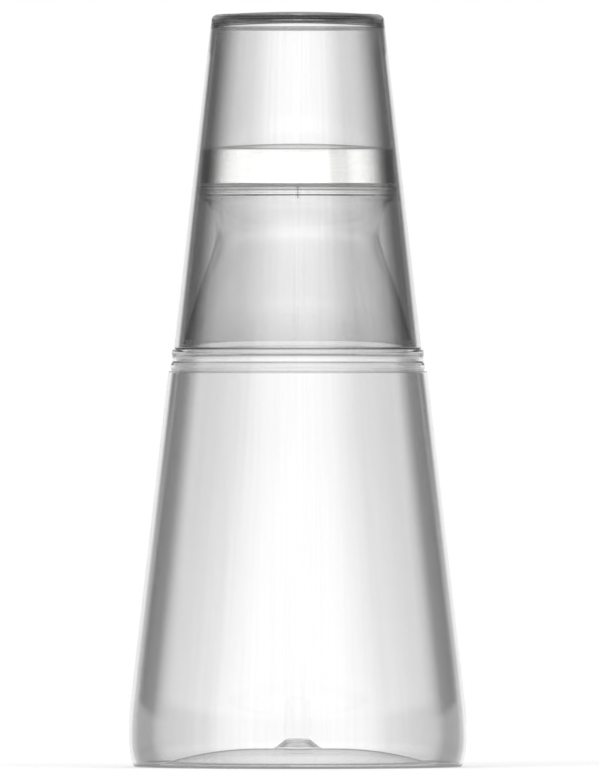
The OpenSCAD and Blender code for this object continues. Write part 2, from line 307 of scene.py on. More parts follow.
# %% The tree that turns an outline
def build_lathe_tree():
    """Turns the outline that comes in round the Z axis."""
    tree = new_geometry_tree("turn_outline", [
        ("Columns", "NodeSocketInt", 200),
        ("Crowding", "NodeSocketFloat", 0.0),
        ("Weld distance", "NodeSocketFloat", 0.001 * MM),
        ("Sharp from", "NodeSocketFloat", math.radians(40)),
    ])
    given = add_node(tree, "NodeGroupInput").outputs
    outline = given["Mesh"]
    columns = given["Columns"]
    rows = add_node(tree, "GeometryNodeAttributeDomainSize", {"Geometry": outline}).outputs["Point Count"]
    row_length = add_node(tree, "ShaderNodeMath", [columns, 1], operation="ADD")
    grid = add_node(tree, "GeometryNodeMeshGrid", {"Vertices X": rows, "Vertices Y": row_length})
    index = add_node(tree, "GeometryNodeInputIndex")
    row = add_node(tree, "ShaderNodeMath", [index, 0.5], operation="ADD")
    row = add_node(tree, "ShaderNodeMath", [row, row_length], operation="DIVIDE")
    row = add_node(tree, "ShaderNodeMath", [row], operation="FLOOR")
    row_start = add_node(tree, "ShaderNodeMath", [row, row_length], operation="MULTIPLY")
    column = add_node(tree, "ShaderNodeMath", [index, row_start], operation="SUBTRACT")

    point = outline_point(tree, outline, row)
    angle = crowded_angle(tree, column, columns, given["Crowding"])
    sine = add_node(tree, "ShaderNodeMath", [angle], operation="SINE")
    cosine = add_node(tree, "ShaderNodeMath", [angle], operation="COSINE")
    x = add_node(tree, "ShaderNodeMath", [point["X"], sine], operation="MULTIPLY")
    y = add_node(tree, "ShaderNodeMath", [point["X"], cosine], operation="MULTIPLY")
    y = add_node(tree, "ShaderNodeMath", [y, -1], operation="MULTIPLY")
    there = add_node(tree, "ShaderNodeCombineXYZ", [x, y, point["Z"]])
    turned = add_node(tree, "GeometryNodeSetPosition", {"Geometry": grid, "Position": there})
    welded = add_node(tree, "GeometryNodeMergeByDistance", {
        "Geometry": turned, "Distance": given["Weld distance"]})
    outward = add_node(tree, "GeometryNodeFlipFaces", {"Mesh": welded})
    smooth = add_node(tree, "GeometryNodeSetShadeSmooth", {"Geometry": outward})
    end_geometry_tree(tree, mark_sharp_edges(tree, smooth, given["Sharp from"]), given["Finish"])
    return tree


lathe_tree = build_lathe_tree()
print("lathe tree:", len(lathe_tree.nodes), "nodes")

# %% [markdown]
# Running a tree and keeping the result.
#
# The finished piece has to be a plain mesh whose object stands at the origin. So the tree runs on a
# helper object, the evaluated result is copied into a new mesh, and the helper is removed. The signed
# volume is a good test: it is positive only if the surface faces outwards.

# %% Run a tree, and measure a piece
import bmesh


def outline_object(points):
    """An outline as a helper object, with its points in the XZ plane."""
    mesh = bpy.data.meshes.new("outline")
    mesh.from_pydata([(r, 0, z) for r, z in points], [(i, i + 1) for i in range(len(points) - 1)], [])
    helper = bpy.data.objects.new("outline", mesh)
    bpy.context.scene.collection.objects.link(helper)
    return helper


def run_tree(helper, tree, name, sizes):
    """Runs a tree on a helper with the given named sizes, and keeps the result as a plain mesh object."""
    modifier = helper.modifiers.new(tree.name, "NODES")
    modifier.node_group = tree
    for socket in tree.interface.items_tree:
        if socket.in_out == "INPUT" and socket.name in sizes:
            modifier[socket.identifier] = sizes[socket.name]
    depsgraph = bpy.context.evaluated_depsgraph_get()
    mesh = bpy.data.meshes.new_from_object(helper.evaluated_get(depsgraph))
    bpy.data.objects.remove(helper)
    mesh.name = name
    made = bpy.data.objects.new(name, mesh)
    bpy.context.scene.collection.objects.link(made)
    return made


def turn_piece(name, points, finish, crowding=0.0):
    """Turns an outline into a named piece with a finish."""
    outline = guard_straights(round_corners(points))
    sizes = {"Crowding": crowding, "Finish": finish}
    return run_tree(outline_object(outline), lathe_tree, name, sizes)


def print_volume(piece):
    """Prints a piece's volume, positive if it faces outwards, and how many of its edges are open."""
    shape = bmesh.new()
    shape.from_mesh(piece.data)
    open_edges = sum(1 for edge in shape.edges if not edge.is_manifold)
    volume = shape.calc_volume(signed=True) / (10 * MM) ** 3
    shape.free()
    print(piece.name, "volume:", round(volume, 2), "cm3, open edges:", open_edges,
          "faces:", len(piece.data.polygons))


print("made a lathe that keeps each piece as a mesh at the origin")

# %% [markdown]
# The driving sizes.
#
# These are the sizes of the real set, read off the photograph and scaled to a carafe that holds about
# a litre. The tumbler, the lid and the neck depend on one another: the tumbler's inside runs in a
# straight line past the foot of the neck and past the lid's shoulder, so both radii follow from it.

# %% Sizes of the carafe's body
heel_r = 56 * MM
heel_z = 9 * MM
heel_round = 24 * MM
taper_round = 115 * MM
body_h = 130.9 * MM
wall = 1.3 * MM
foot_edge = 1.2 * MM
inner_heel_round = 1.5 * MM
inner_shelf_round = 3 * MM
punt_r = 44.6 * MM
punt_h = 5.2 * MM
punt_flat_r = 12 * MM
floor_t = 1 * MM
nub_foot_r = 8.1 * MM
nub_top_r = 3.3 * MM
nub_h = 3.2 * MM
nub_edge = 0.6 * MM
dimple_r = 2.4 * MM
dimple_depth = 1 * MM
print("body in mm:", round(2 * heel_r / MM, 1), "wide and", round(body_h / MM, 1), "high")

# %% Sizes of the band, the neck and the mouth
band_h = 7.2 * MM
bead_count = 2
bead_pitch = 4 * MM
bead_w = 2 * MM
bead_proud = 0.42 * MM
band_flare = 0.7 * MM
shelf_w = 0.9 * MM
neck_foot_r = 38.5 * MM
waist_r = 27.1 * MM
waist_h = 40.2 * MM
waist_pull = 10 * MM
neck_pull = 24 * MM
neck_slope = math.radians(13)
neck_wall = 1.38 * MM
neck_lift = 0.35 * MM
throat_h = 9.7 * MM
throat_slope = 51.5
mouth_r = 28.1 * MM
finish_wall = 1.5 * MM
finish_h = 10.1 * MM
flange_h = 1.2 * MM
collar_h = 2.3 * MM
collar_groove = 0.3 * MM
groove_h = 0.4 * MM
flange_proud = 0.3 * MM
parting_w = 0.4 * MM
parting_proud = 0.2 * MM
print("waist and mouth in mm:", round(2 * waist_r / MM, 1), round(2 * mouth_r / MM, 1))

# %% Sizes of the lid
shell_t = 0.6 * MM
skirt_t = 1.1 * MM
shadow_gap = 0.8 * MM
shadow_depth = 0.7 * MM
lid_shoulder = 1.9 * MM
lid_dome = 1.5 * MM
lid_edge = 0.9 * MM
plug_depth = 8 * MM
plug_wall = 2.2 * MM
plug_gap = 0.8 * MM
plug_edge = 0.5 * MM
seal_h = 3 * MM
seal_depth = 0.9 * MM
seal_gap = 0.15 * MM
print("the plug reaches", round(plug_depth / MM, 1), "mm into the mouth")

# %% Sizes of the tumbler, and the gaps between pieces
tumbler_wall = 1.4 * MM
headroom = 39.4 * MM
tumbler_base_t = 4.3 * MM
base_dome = 0.9 * MM
ceiling_dome = 1 * MM
base_edge = 2.4 * MM
base_inner_edge = 0.6 * MM
rim_edge = 0.65 * MM
gate_r = 2.1 * MM
gate_h = 0.8 * MM
gate_dimple_r = 1.5 * MM
gate_dimple_depth = 0.5 * MM
rim_gap = 1 * MM
ledge_lip = 0.3 * MM
lid_gap = 0.5 * MM
insert_gap = 0.3 * MM
touch_gap = 0.02 * MM  # pieces that touch stay this far apart, so that light can tell them apart
print("the tumbler stands", round(rim_gap / MM, 1), "mm clear of the neck's foot")

# %% Heights and radii that follow from them
finish_r = mouth_r + finish_wall
ledge_z = body_h + band_h
waist_z = ledge_z + waist_h
throat_z = waist_z + throat_h
collar_top_z = throat_z + collar_h
flange_bottom_z = collar_top_z + groove_h
flange_z = flange_bottom_z + flange_h
mouth_z = flange_z + finish_h
shell_bottom_z = flange_z + shadow_gap
lid_side_z = mouth_z + lid_shoulder
lid_top_z = lid_side_z + lid_edge + lid_dome
ceiling_z = lid_top_z + headroom
tumbler_top_z = ceiling_z + tumbler_base_t
rim_inner_r = neck_foot_r + rim_gap
skirt_inner_r = finish_r + insert_gap
tumbler_slope = (rim_inner_r - skirt_inner_r - skirt_t - shell_t - lid_gap) / (lid_side_z - ledge_z)
wall_angle = math.degrees(math.atan(tumbler_slope))


def tumbler_inner_r(z):
    """The tumbler's inner radius at a height."""
    return rim_inner_r - tumbler_slope * (z - ledge_z)


def tumbler_outer_r(z):
    """The tumbler's outer radius at a height."""
    return tumbler_inner_r(z) + tumbler_wall


def lid_r(z):
    """The lid's radius at a height, which follows the tumbler."""
    return tumbler_inner_r(z) - lid_gap


ledge_r = tumbler_outer_r(ledge_z) + ledge_lip
shelf_r = ledge_r + band_flare + shelf_w
flange_r = lid_r(shell_bottom_z) + flange_proud
print("heights in mm: ledge", round(ledge_z / MM, 1), "mouth", round(mouth_z / MM, 1),
      "top", round(tumbler_top_z / MM, 1))

# %% [markdown]
# What clear moulded plastic does to light.
#
# The carafe and tumbler are clear copolyester, moulded in polished steel. Seen square on, a wall
# of it is all but invisible. Seen at a slant it bends in light from darker surroundings and shows a
# soft grey band along each side, and past that, in the last millimetre, light runs round inside the
# wall and comes out bright again. A glass shader gives the bending and the bright outline by itself.
# An absorbing volume could give a grey, but it hardly shows in walls as thin as these, so the grey band
# is painted shade in the colour, which follows Layer Weight's Facing: 0 where a surface is seen square
# on, and 1 where it is seen edge on.

# %% Start of a finish, and its greys
def new_finish(name, metallic=0.0):
    """A new material with its tree, its shader and the coordinates that its patterns follow."""
    material = bpy.data.materials.new(name)
    material.use_nodes = True
    shader = material.node_tree.nodes["Principled BSDF"]
    shader.inputs["Metallic"].default_value = metallic
    coords = add_node(material.node_tree, "ShaderNodeTexCoord").outputs
    return material, material.node_tree, shader, coords


def greys(*pairs):
    """Stops of a grey ramp, from pairs of a place and the share of light that is left there."""
    return [(place, (share, share, share, 1)) for place, share in pairs]


print("a wall seen square on faces 0, one seen edge on faces 1")

# %% Where painted shade makes the plastic grey
NECK_FADE = 15 * MM
NECK_BLEND = 1 * MM
BASE_BLEND = 0.4 * MM
# Stops of painted shade by how far a wall slants from the eye: the neck's, and the tumbler's dark base.
neck_sides = greys((0, 0.98), (0.03, 0.96), (0.08, 0.9), (0.134, 0.88), (0.5, 0.9), (0.7, 0.9), (1, 0.95))
base_sides = greys((0, 0.1), (0.045, 0.08), (0.065, 0.01), (0.52, 0.01), (0.62, 0.2), (0.7, 0.9), (1, 0.95))


def painted_shade_of_the_walls(tree, facing, height, clear):
    """The painted shade of the body's walls and of the neck's, by how far they slant from the eye."""
    narrowing = add_node(tree, "ShaderNodeMapRange", [
        height, clear["heel"], clear["shoulder"], clear["narrowing"], 0])
    side_facing = add_node(tree, "ShaderNodeMath", [facing, narrowing], operation="SUBTRACT")
    side = add_node(tree, "ShaderNodeValToRGB", [side_facing], stops=clear["sides"])
    neck = add_node(tree, "ShaderNodeValToRGB", [facing], stops=neck_sides)
    # Painted shade: the neck's grey deepens towards its foot at the ledge.
    neck_foot = add_node(tree, "ShaderNodeMapRange", [
        height, clear["neck"], clear["neck"] + NECK_FADE, clear["neck foot"], 1])
    neck = add_node(tree, "ShaderNodeVectorMath", {0: neck, "Scale": neck_foot}, operation="SCALE")
    in_neck = add_node(tree, "ShaderNodeMapRange", [
        height, clear["neck"] - NECK_BLEND, clear["neck"] + NECK_BLEND])
    return add_node(tree, "ShaderNodeMix", {0: in_neck, 6: side, 7: neck}, data_type="RGBA").outputs[2]


def mask_of_the_base(tree, facing, height, clear):
    """Where a thick base gets its painted dark: 1 in the base, whose lower limit is a shallow dome, and 0
    below it.
    """
    square_on = add_node(tree, "ShaderNodeMath", [1, facing], operation="SUBTRACT")
    arch = add_node(tree, "ShaderNodeMath", [square_on, 2], operation="POWER")
    arch = add_node(tree, "ShaderNodeMath", [arch, clear["thick dome"]], operation="MULTIPLY")
    over_dome = add_node(tree, "ShaderNodeMath", [height, arch], operation="SUBTRACT")
    return add_node(tree, "ShaderNodeMapRange", [over_dome, clear["thick"], clear["thick"] + BASE_BLEND])


print("the neck's grey takes over within", round(2 * NECK_BLEND / MM, 1), "mm of the ledge")

# %% [markdown]
# The painted shade of a piece.
#
# The walls, the thick base and the level faces of one moulding look different, because light takes a
# different way through each; here that look is painted shade in the colour. They could be three
# materials, but then their borders would show as lines. So one colour is mixed from all three, by
# height and by how level a face is.

# %% Mix the painted shade
ALL_CLEAR = "#FDFDFD"
LEVEL_CLEAR = "#FBFBFB"
NEARLY_LEVEL = 0.75  # how far up a face looks: 0 for an upright wall, 1 for a level one
LEVEL = 0.95


def painted_shade_of_the_piece(tree, height, slope, clear):
    """The painted shade of a piece: the share of light left at its walls, its thick base and its level
    faces.
    """
    facing = add_node(tree, "ShaderNodeLayerWeight", {"Blend": 0.5}).outputs["Facing"]
    walls = painted_shade_of_the_walls(tree, facing, height, clear)
    height_share = add_node(tree, "ShaderNodeMath", [height, tumbler_top_z], operation="DIVIDE")
    how_grey = greys(*[(z / tumbler_top_z, share) for z, share in clear["how grey"]])
    shown = add_node(tree, "ShaderNodeValToRGB", [height_share], stops=how_grey)
    walls = add_node(tree, "ShaderNodeMix", {0: shown, 6: linear(ALL_CLEAR), 7: walls}, data_type="RGBA")
    # Painted shade: a thick base turns almost black.
    in_base = mask_of_the_base(tree, facing, height, clear)
    base = add_node(tree, "ShaderNodeValToRGB", [facing], stops=base_sides)
    colour_with_painted_shade = add_node(tree, "ShaderNodeMix", {0: in_base, 6: walls.outputs[2], 7: base}, data_type="RGBA")
    level = add_node(tree, "ShaderNodeMapRange", [slope, NEARLY_LEVEL, LEVEL])
    level_clear = linear(LEVEL_CLEAR)
    colour_with_painted_shade = add_node(tree, "ShaderNodeMix", {0: level, 6: colour_with_painted_shade.outputs[2], 7: level_clear}, data_type="RGBA")
    return colour_with_painted_shade.outputs[2]


print("level faces let", round(100 * linear(LEVEL_CLEAR)[0]), "percent of the light through")

# %% [markdown]
# Marks of making and use.
#
# The core leaves faint upright draw lines on the walls, and washing leaves a haze too fine to see, in
# patches a thumb wide. The draw lines follow the circumference, so their noise is read at the point's
# direction from the axis: a whole turn is then a fixed number of lines at any height. Near the axis
# and on flat faces there are none, and a mask by the surface's slope fades them out.

# %% Draw lines and haze
LINE_WIDTH = 1.4 * MM
LINE_LENGTH = 60 * MM
MIDDLE_R = 45 * MM  # about the radius in the middle of the walls
LINES_ROUND = MIDDLE_R / LINE_WIDTH
HAZE_SIZE = 18 * MM
UPRIGHT = 0.3  # how far up a face looks where its draw lines begin to fade
LEANING = 0.6  # and where they are gone
NOISE_SPREAD = (0.3, 0.7)  # most values of a noise lie between these


def draw_lines(tree, place, slope):
    """The height of the draw lines, and a mask that keeps them on upright walls."""
    flat = add_node(tree, "ShaderNodeVectorMath", [place, (1, 1, 0)], operation="MULTIPLY")
    outward = add_node(tree, "ShaderNodeVectorMath", [flat], operation="NORMALIZE")
    across = add_node(tree, "ShaderNodeVectorMath", {0: outward, "Scale": LINES_ROUND}, operation="SCALE")
    along = add_node(tree, "ShaderNodeVectorMath", [place, (0, 0, 1 / LINE_LENGTH)], operation="MULTIPLY")
    line_place = add_node(tree, "ShaderNodeVectorMath", [across, along], operation="ADD")
    lines = add_node(tree, "ShaderNodeTexNoise", {
        "Vector": line_place, "Scale": 1, "Detail": 3, "Roughness": 0.65})
    on_walls = add_node(tree, "ShaderNodeMapRange", [slope, UPRIGHT, LEANING, 1, 0])
    return lines, on_walls


def haze(tree, place, lowest, highest):
    """A roughness that wanders between two values in patches."""
    patches = add_node(tree, "ShaderNodeTexNoise", {"Vector": place, "Scale": 1 / HAZE_SIZE, "Detail": 4})
    return add_node(tree, "ShaderNodeMapRange", [patches, *NOISE_SPREAD, lowest, highest])


print("draw lines round the carafe:", round(2 * math.pi * LINES_ROUND))

# %% [markdown]
# Painted shade for fine lines and the scuffed foot.
#
# Three marks are too fine for light to draw at this size, so they are painted shade in the colour. The
# ring that the carafe stands on is scuffed, which its roughness shows, and painted shade makes it
# grey. A crisp inner corner gets a painted dark hair line. The parting line, where the two halves of
# the mould met, gets a painted dark tick on the flange, front and back. Each takes a share of the
# light away, and the shares are multiplied.

# %% Shade the marks
LINE_SHADE = 0.035
# the share of light that the painted shade leaves on the foot ring
PAINTED_FOOT_LIGHT = 0.12
CORNER_REACH = (0.12 * MM, 0.35 * MM)
SEAM_REACH = (0.15 * MM, 0.4 * MM)
SEAM_SHADE = 0.4


def shade_of_the_lines(tree, lines, on_walls, foot_wear_and_shade):
    """The share of light that the draw lines and the painted shade on the scuffed foot leave."""
    faint = add_node(tree, "ShaderNodeMapRange", [lines, *NOISE_SPREAD, -LINE_SHADE, 0])
    faint = add_node(tree, "ShaderNodeMath", [faint, on_walls, 1], operation="MULTIPLY_ADD")
    # painted shade on the foot ring
    laid_on = add_node(tree, "ShaderNodeMapRange", [foot_wear_and_shade, 0, 1, 1, PAINTED_FOOT_LIGHT])
    return add_node(tree, "ShaderNodeMath", [faint, laid_on], operation="MULTIPLY")


def shade_of_a_corner(tree, height, clear):
    """The share of light that is left round the height of a crisp inner corner, where a hair line is
    painted shade.
    """
    away = add_node(tree, "ShaderNodeMath", [height, clear["corner"]], operation="SUBTRACT")
    away = add_node(tree, "ShaderNodeMath", [away], operation="ABSOLUTE")
    return add_node(tree, "ShaderNodeMapRange", [away, *CORNER_REACH, clear["corner light"], 1])


def shade_of_the_seam(tree, place, height, clear):
    """The share of light that painted shade leaves along the parting line, on the flange alone."""
    aside = add_node(tree, "ShaderNodeSeparateXYZ", [place]).outputs["X"]
    aside = add_node(tree, "ShaderNodeMath", [aside], operation="ABSOLUTE")
    seam = add_node(tree, "ShaderNodeMapRange", [aside, *SEAM_REACH, -SEAM_SHADE, 0])
    flange = [height, clear["seam"], clear["seam half"]]
    in_flange = add_node(tree, "ShaderNodeMath", flange, operation="COMPARE")
    return add_node(tree, "ShaderNodeMath", [seam, in_flange, 1], operation="MULTIPLY_ADD")


print("the parting line takes", round(100 * SEAM_SHADE), "percent of the light")

# %% [markdown]
# Clear copolyester.
#
# The plastic comes out of a polished steel mould glossy and clear. The Principled shader with full
# transmission bends light as the real wall does, with a typical IOR for this plastic. The painted shade
# and the marks go into its colour, the draw lines into a slight ripple, and the haze into its
# roughness, which rises on the scuffed foot.

# %% Clear copolyester
PLASTIC_IOR = 1.5
# the heights between which the foot's scuffs and its painted shade set in
FOOT_WEAR_AND_SHADE_TOP = 1.1 * MM
FOOT_WEAR_AND_SHADE_FULL = 0.7 * MM
WORN_ROUGHNESS = 0.25
CLEAR_ROUGHNESS = (0.005, 0.015)
RIPPLE_STRENGTH = 0.08
RIPPLE_HEIGHT = 0.02 * MM


def clear_plastic(name, clear):
    """Clear moulded copolyester. It bends light, and painted shade makes it grey at its sides and dark
    round a thick base.
    """
    material, tree, shader, coords = new_finish(name)
    place = coords["Object"]
    height = add_node(tree, "ShaderNodeSeparateXYZ", [place]).outputs["Z"]
    upward = add_node(tree, "ShaderNodeSeparateXYZ", [coords["Normal"]]).outputs["Z"]
    slope = add_node(tree, "ShaderNodeMath", [upward], operation="ABSOLUTE")
    # 1 on the foot ring, which is scuffed and gets painted shade, and 0 above it
    foot_wear_and_shade = add_node(tree, "ShaderNodeMapRange", [height, FOOT_WEAR_AND_SHADE_TOP, FOOT_WEAR_AND_SHADE_FULL, 0, 1])
    lines, on_walls = draw_lines(tree, place, slope)

    # Painted shade of the walls and the base, then that of the foot, the corner and the parting line, with
    # the faint draw lines.
    colour_with_painted_shade = painted_shade_of_the_piece(tree, height, slope, clear)
    shade = shade_of_the_lines(tree, lines, on_walls, foot_wear_and_shade)
    for share in (shade_of_a_corner(tree, height, clear), shade_of_the_seam(tree, place, height, clear)):
        shade = add_node(tree, "ShaderNodeMath", [shade, share], operation="MULTIPLY")
    colour_with_painted_shade = add_node(tree, "ShaderNodeVectorMath", {0: colour_with_painted_shade, "Scale": shade}, operation="SCALE")
    strength = add_node(tree, "ShaderNodeMath", [on_walls, RIPPLE_STRENGTH], operation="MULTIPLY")
    ripple = add_node(tree, "ShaderNodeBump", {
        "Strength": strength, "Distance": RIPPLE_HEIGHT, "Height": lines})
    clear_roughness = haze(tree, place, *CLEAR_ROUGHNESS)
    laid_on = [foot_wear_and_shade, WORN_ROUGHNESS, clear_roughness]
    roughness = add_node(tree, "ShaderNodeMath", laid_on, operation="MULTIPLY_ADD")
    tree.links.new(colour_with_painted_shade.outputs[0], shader.inputs["Base Color"])
    tree.links.new(ripple.outputs[0], shader.inputs["Normal"])
    tree.links.new(roughness.outputs[0], shader.inputs["Roughness"])
    shader.inputs["Transmission Weight"].default_value = 1
    shader.inputs["IOR"].default_value = PLASTIC_IOR
    return material


print("IOR of the plastic:", PLASTIC_IOR)

# %% [markdown]
# The same plastic on two pieces.
#
# The carafe and the tumbler are one plastic, but the painted grey runs up to other heights on each, so
# each gets its own material. The first number of a side's stops is how far the wall slants from the
# eye, and the second is the share of light that the painted shade leaves. How grey a piece looks also
# changes with height: the body and the lower neck show their sides' painted grey in full, the band less
# of it, and the ledge, the throat and the mouth hardly any, so that the ledge stays light as a painted
# highlight. A feature that a piece doesn't have is put at a height that no piece reaches.

# %% The carafe's plastic
nowhere = 1  # metres
# Stops of the painted shade on the carafe's sides.
body_sides = greys(
    (0, 1), (0.045, 0.94), (0.076, 0.88), (0.12, 0.78), (0.23, 0.72), (0.36, 0.72),
    (0.42, 0.64), (0.47, 0.42), (0.6, 0.34), (0.73, 0.32), (0.79, 0.85), (1, 0.95),
)
carafe_finish = clear_plastic("clear_moulded_copolyester", {
    "sides": body_sides,
    "heel": 20 * MM,
    "shoulder": 110 * MM,
    "narrowing": 0.045,
    "neck": ledge_z,
    # The neck's painted grey is deepest at its foot.
    "neck foot": 0.84,
    "thick": nowhere,
    "thick dome": 0,
    # A painted dark hair line at the shelf's inner corner.
    "corner": body_h - 0.1 * MM,
    "corner light": 0.7,
    # A painted dark tick along the parting line on the flange.
    "seam": (throat_z + flange_z) / 2,
    "seam half": (flange_z - throat_z) / 2 - collar_groove,
    # Less painted grey at the ledge plate leaves it light, as a painted highlight.
    "how grey": [
        (0, 1), (body_h - 0.5 * MM, 1), (body_h, 0.7), (ledge_z - wall - 0.3 * MM, 0.7),
        (ledge_z - wall, 0.15), (ledge_z - 0.2 * MM, 0.15), (ledge_z + 0.2 * MM, 1),
        (waist_z + 2 * MM, 1), (throat_z - 2 * MM, 0.1), (mouth_z, 0.1),
    ],
})
print("share of light through the carafe's darkest stop:", min(grey[0] for _, grey in body_sides))

# %% The tumbler's plastic
# Stops of the painted shade on the tumbler's sides.
tumbler_sides = greys(
    (0, 1), (0.03, 0.97), (0.05, 0.92), (0.075, 0.86), (0.13, 0.73), (0.27, 0.63),
    (0.34, 0.45), (0.42, 0.26), (0.52, 0.18), (0.71, 0.14), (0.76, 0.6), (1, 0.78),
)
tumbler_finish = clear_plastic("clear_moulded_copolyester_tumbler", {
    "sides": tumbler_sides,
    "heel": ledge_z,
    "shoulder": tumbler_top_z,
    "narrowing": 0,
    "neck": nowhere,
    "neck foot": 1,
    # Painted shade darkens the tumbler's thick base from this height up.
    "thick": tumbler_top_z - 4.6 * MM,
    "thick dome": 1.2 * MM,
    # A painted dark hair line round the ceiling's inner corner.
    "corner": ceiling_z - ceiling_dome - base_inner_edge / 3,
    "corner light": 0.6,
    "seam": nowhere,
    "seam half": 0,
    "how grey": [(0, 1), (tumbler_top_z, 1)],
})
print("share of light through the tumbler's darkest stop:", min(grey[0] for _, grey in tumbler_sides))

# %% [markdown]
# The carafe's underside.
#
# The carafe is turned from one outline: from the middle of the underside, round the outside to the
# mouth, and down the inside to the nub where the moulding was fed. It stands on a narrow ring, as
# bottles do, because a ring stands steady where a full disc would rock. Inside the ring the floor
# domes up. The dome is an arc that meets a small flat round the nub.

# %% Underside outline
crisp = 0.1 * MM
eased = 0.2 * MM
soft = 0.3 * MM
punt_run = punt_r - punt_flat_r
punt_round = (punt_run**2 + punt_h**2) / (2 * punt_h)


def punt_arc(lift, angle):
    """The domed hollow under the base, or the floor that lies a little above it."""
    return arc((punt_flat_r, punt_h - punt_round), punt_round + lift, 90 - angle, 90, CURVE_STEPS)


punt_angle = math.degrees(math.asin(punt_run / punt_round))
floor_z = punt_h + floor_t
nub_under_edge = 0.5 * MM
nub_under_foot = 1 * MM
nub_shoulder_r = nub_top_r + nub_h / 3
nub_shoulder_z = floor_z + nub_h - nub_h / 6
under_z = floor_z + nub_h - dimple_depth - floor_t
underside = [
    (0, under_z),
    (dimple_r, under_z, soft),
    (nub_shoulder_r - floor_t / 2, nub_shoulder_z - floor_t, nub_under_edge),
    (nub_foot_r - floor_t, punt_h, nub_under_foot),
    *reversed(punt_arc(0, punt_angle)),
]
print("the floor domes up by", round(floor_z / MM, 1), "mm")

# %% [markdown]
# The carafe's body and band.
#
# A generous heel runs into the wall through an arc of large radius, and the wall then rises straight
# to the shelf's edge. A curve drawn by hand could do it, but any kink would show as a line of light.
# So the arc's angle is worked out from the rise and the run between the heel and the shelf, and the
# straight leaves it without a kink. The band above narrows evenly, and its many rows give the beads
# something to rise from.

# %% Body and band outline
BAND_ROWS = 32
heel_angle = math.degrees(math.asin((heel_z - foot_edge) / (heel_round - foot_edge)))
foot_centre_r = heel_r - heel_round + (heel_round - foot_edge) * math.cos(math.radians(heel_angle))
taper_run = shelf_r - heel_r + taper_round
taper_rise = body_h - heel_z
taper_angle = math.degrees(
    math.atan2(taper_rise, taper_run) - math.acos(taper_round / math.hypot(taper_run, taper_rise))
)
taper_points = arc((heel_r - taper_round, heel_z), taper_round, 0, taper_angle)
body_outer = [
    *arc((foot_centre_r, foot_edge), foot_edge, -90, -heel_angle),
    *arc((heel_r - heel_round, heel_z), heel_round, -heel_angle, 0)[1:],
    *taper_points[1:],
    (shelf_r, body_h, soft),
]
band_wall = [
    (ledge_r + band_flare * (1 - i / BAND_ROWS), body_h + band_h * i / BAND_ROWS)
    for i in range(1, BAND_ROWS)
]
band_outer = [(shelf_r - shelf_w, body_h, crisp), *band_wall, (ledge_r, ledge_z, crisp)]
print("the body's wall leans by", round(taper_angle, 2), "degrees")

# %% [markdown]
# The carafe's neck, flange and mouth.
#
# The neck is one flowing curve from the ledge to the waist, drawn with four handles, and an arc from
# there out to the collar. Arcs alone could make it, but the long S of the lower neck would need
# several, joined without a kink. A fine groove parts the collar from the flange, which carries the
# lid. Above the flange stands the plain finish, with a rounded lip.

# %% Neck, flange and mouth outline
neck_low = bezier([
    (neck_foot_r, ledge_z),
    (neck_foot_r - neck_pull * math.sin(neck_slope), ledge_z + neck_pull * math.cos(neck_slope)),
    (waist_r, waist_z - waist_pull),
    (waist_r, waist_z),
])
throat_round = throat_h / math.sin(math.radians(throat_slope))
neck_high = arc((waist_r + throat_round, waist_z), throat_round, 180, 180 - throat_slope, 2 * ARC_STEPS)
neck_outer = [(*neck_low[0], soft), *neck_low[1:], *neck_high[1:]]
throat_end_r = neck_high[-1][0]
throat_fall = math.tan(math.radians(throat_slope))
collar_r = flange_r - collar_groove / 2
groove_r = flange_r - collar_groove
groove_edge = 0.08 * MM
flange_edge = 0.15 * MM
flange_slant = flange_h / 4
collar_outer = [
    (collar_r, throat_z + (collar_r - throat_end_r) / throat_fall, flange_edge),
    (collar_r, collar_top_z, crisp),
    (groove_r, collar_top_z, groove_edge),
    (groove_r, flange_bottom_z, groove_edge),
    (flange_r, flange_bottom_z, flange_edge),
    (flange_r, flange_z - flange_slant, eased),
    (flange_r - flange_slant, flange_z, crisp),
    (finish_r, flange_z, eased),
]
mouth_round = finish_wall / 4
mouth_outer = [
    *arc((finish_r - mouth_round, mouth_z - mouth_round), mouth_round, 0, 90),
    *arc((mouth_r + mouth_round, mouth_z - mouth_round), mouth_round, 90, 180),
]
print("flange in mm:", round(2 * flange_r / MM, 1), "across at height", round(flange_z / MM, 1))

# %% [markdown]
# The carafe's inside.
#
# A wall of even thickness could be had by offsetting the outline, but on the curved neck it acts as a
# weak lens and bends a level view. So the neck's inner line is the outer line moved inwards and up as
# a whole: a level ray that bends on its way in meets a face of the same slope on its way out, and
# leaves level again. The rest of the inside follows the outside at the wall's thickness.

# %% Inside outline
groove_inner_r = groove_r - wall
inner_heel_angle = math.degrees(math.asin((heel_z - floor_t) / (heel_round - wall)))
inner_heel_r = heel_r - heel_round + (heel_round - wall) * math.cos(math.radians(inner_heel_angle))
floor_angle = math.degrees(math.acos((punt_round - punt_h + floor_t) / (punt_round + floor_t)))
neck_curve = [*neck_low, *neck_high[1:]]
neck_inner = [(r - neck_wall, z + neck_lift) for r, z in neck_curve[1:]]
throat_inner_r, throat_inner_z = neck_inner[-1]
collar_inner = [
    (mouth_r, flange_z - wall),
    (groove_inner_r, flange_z - wall),
    (groove_inner_r, throat_inner_z + (groove_inner_r - throat_inner_r) / throat_fall),
]
body_inner = [
    (neck_foot_r - wall, ledge_z - wall),
    (ledge_r - wall, ledge_z - wall),
    *[(r - wall, z) for r, z in reversed(band_wall) if z < ledge_z - 1.5 * wall],
    (shelf_r - shelf_w - wall, body_h, inner_shelf_round),
    *[(r - wall, z) for r, z in reversed(taper_points[1:])],
    *arc((heel_r - heel_round, heel_z), heel_round - wall, 0, -inner_heel_angle)[:-1],
    (inner_heel_r, floor_t, inner_heel_round),
    *punt_arc(floor_t, floor_angle),
]
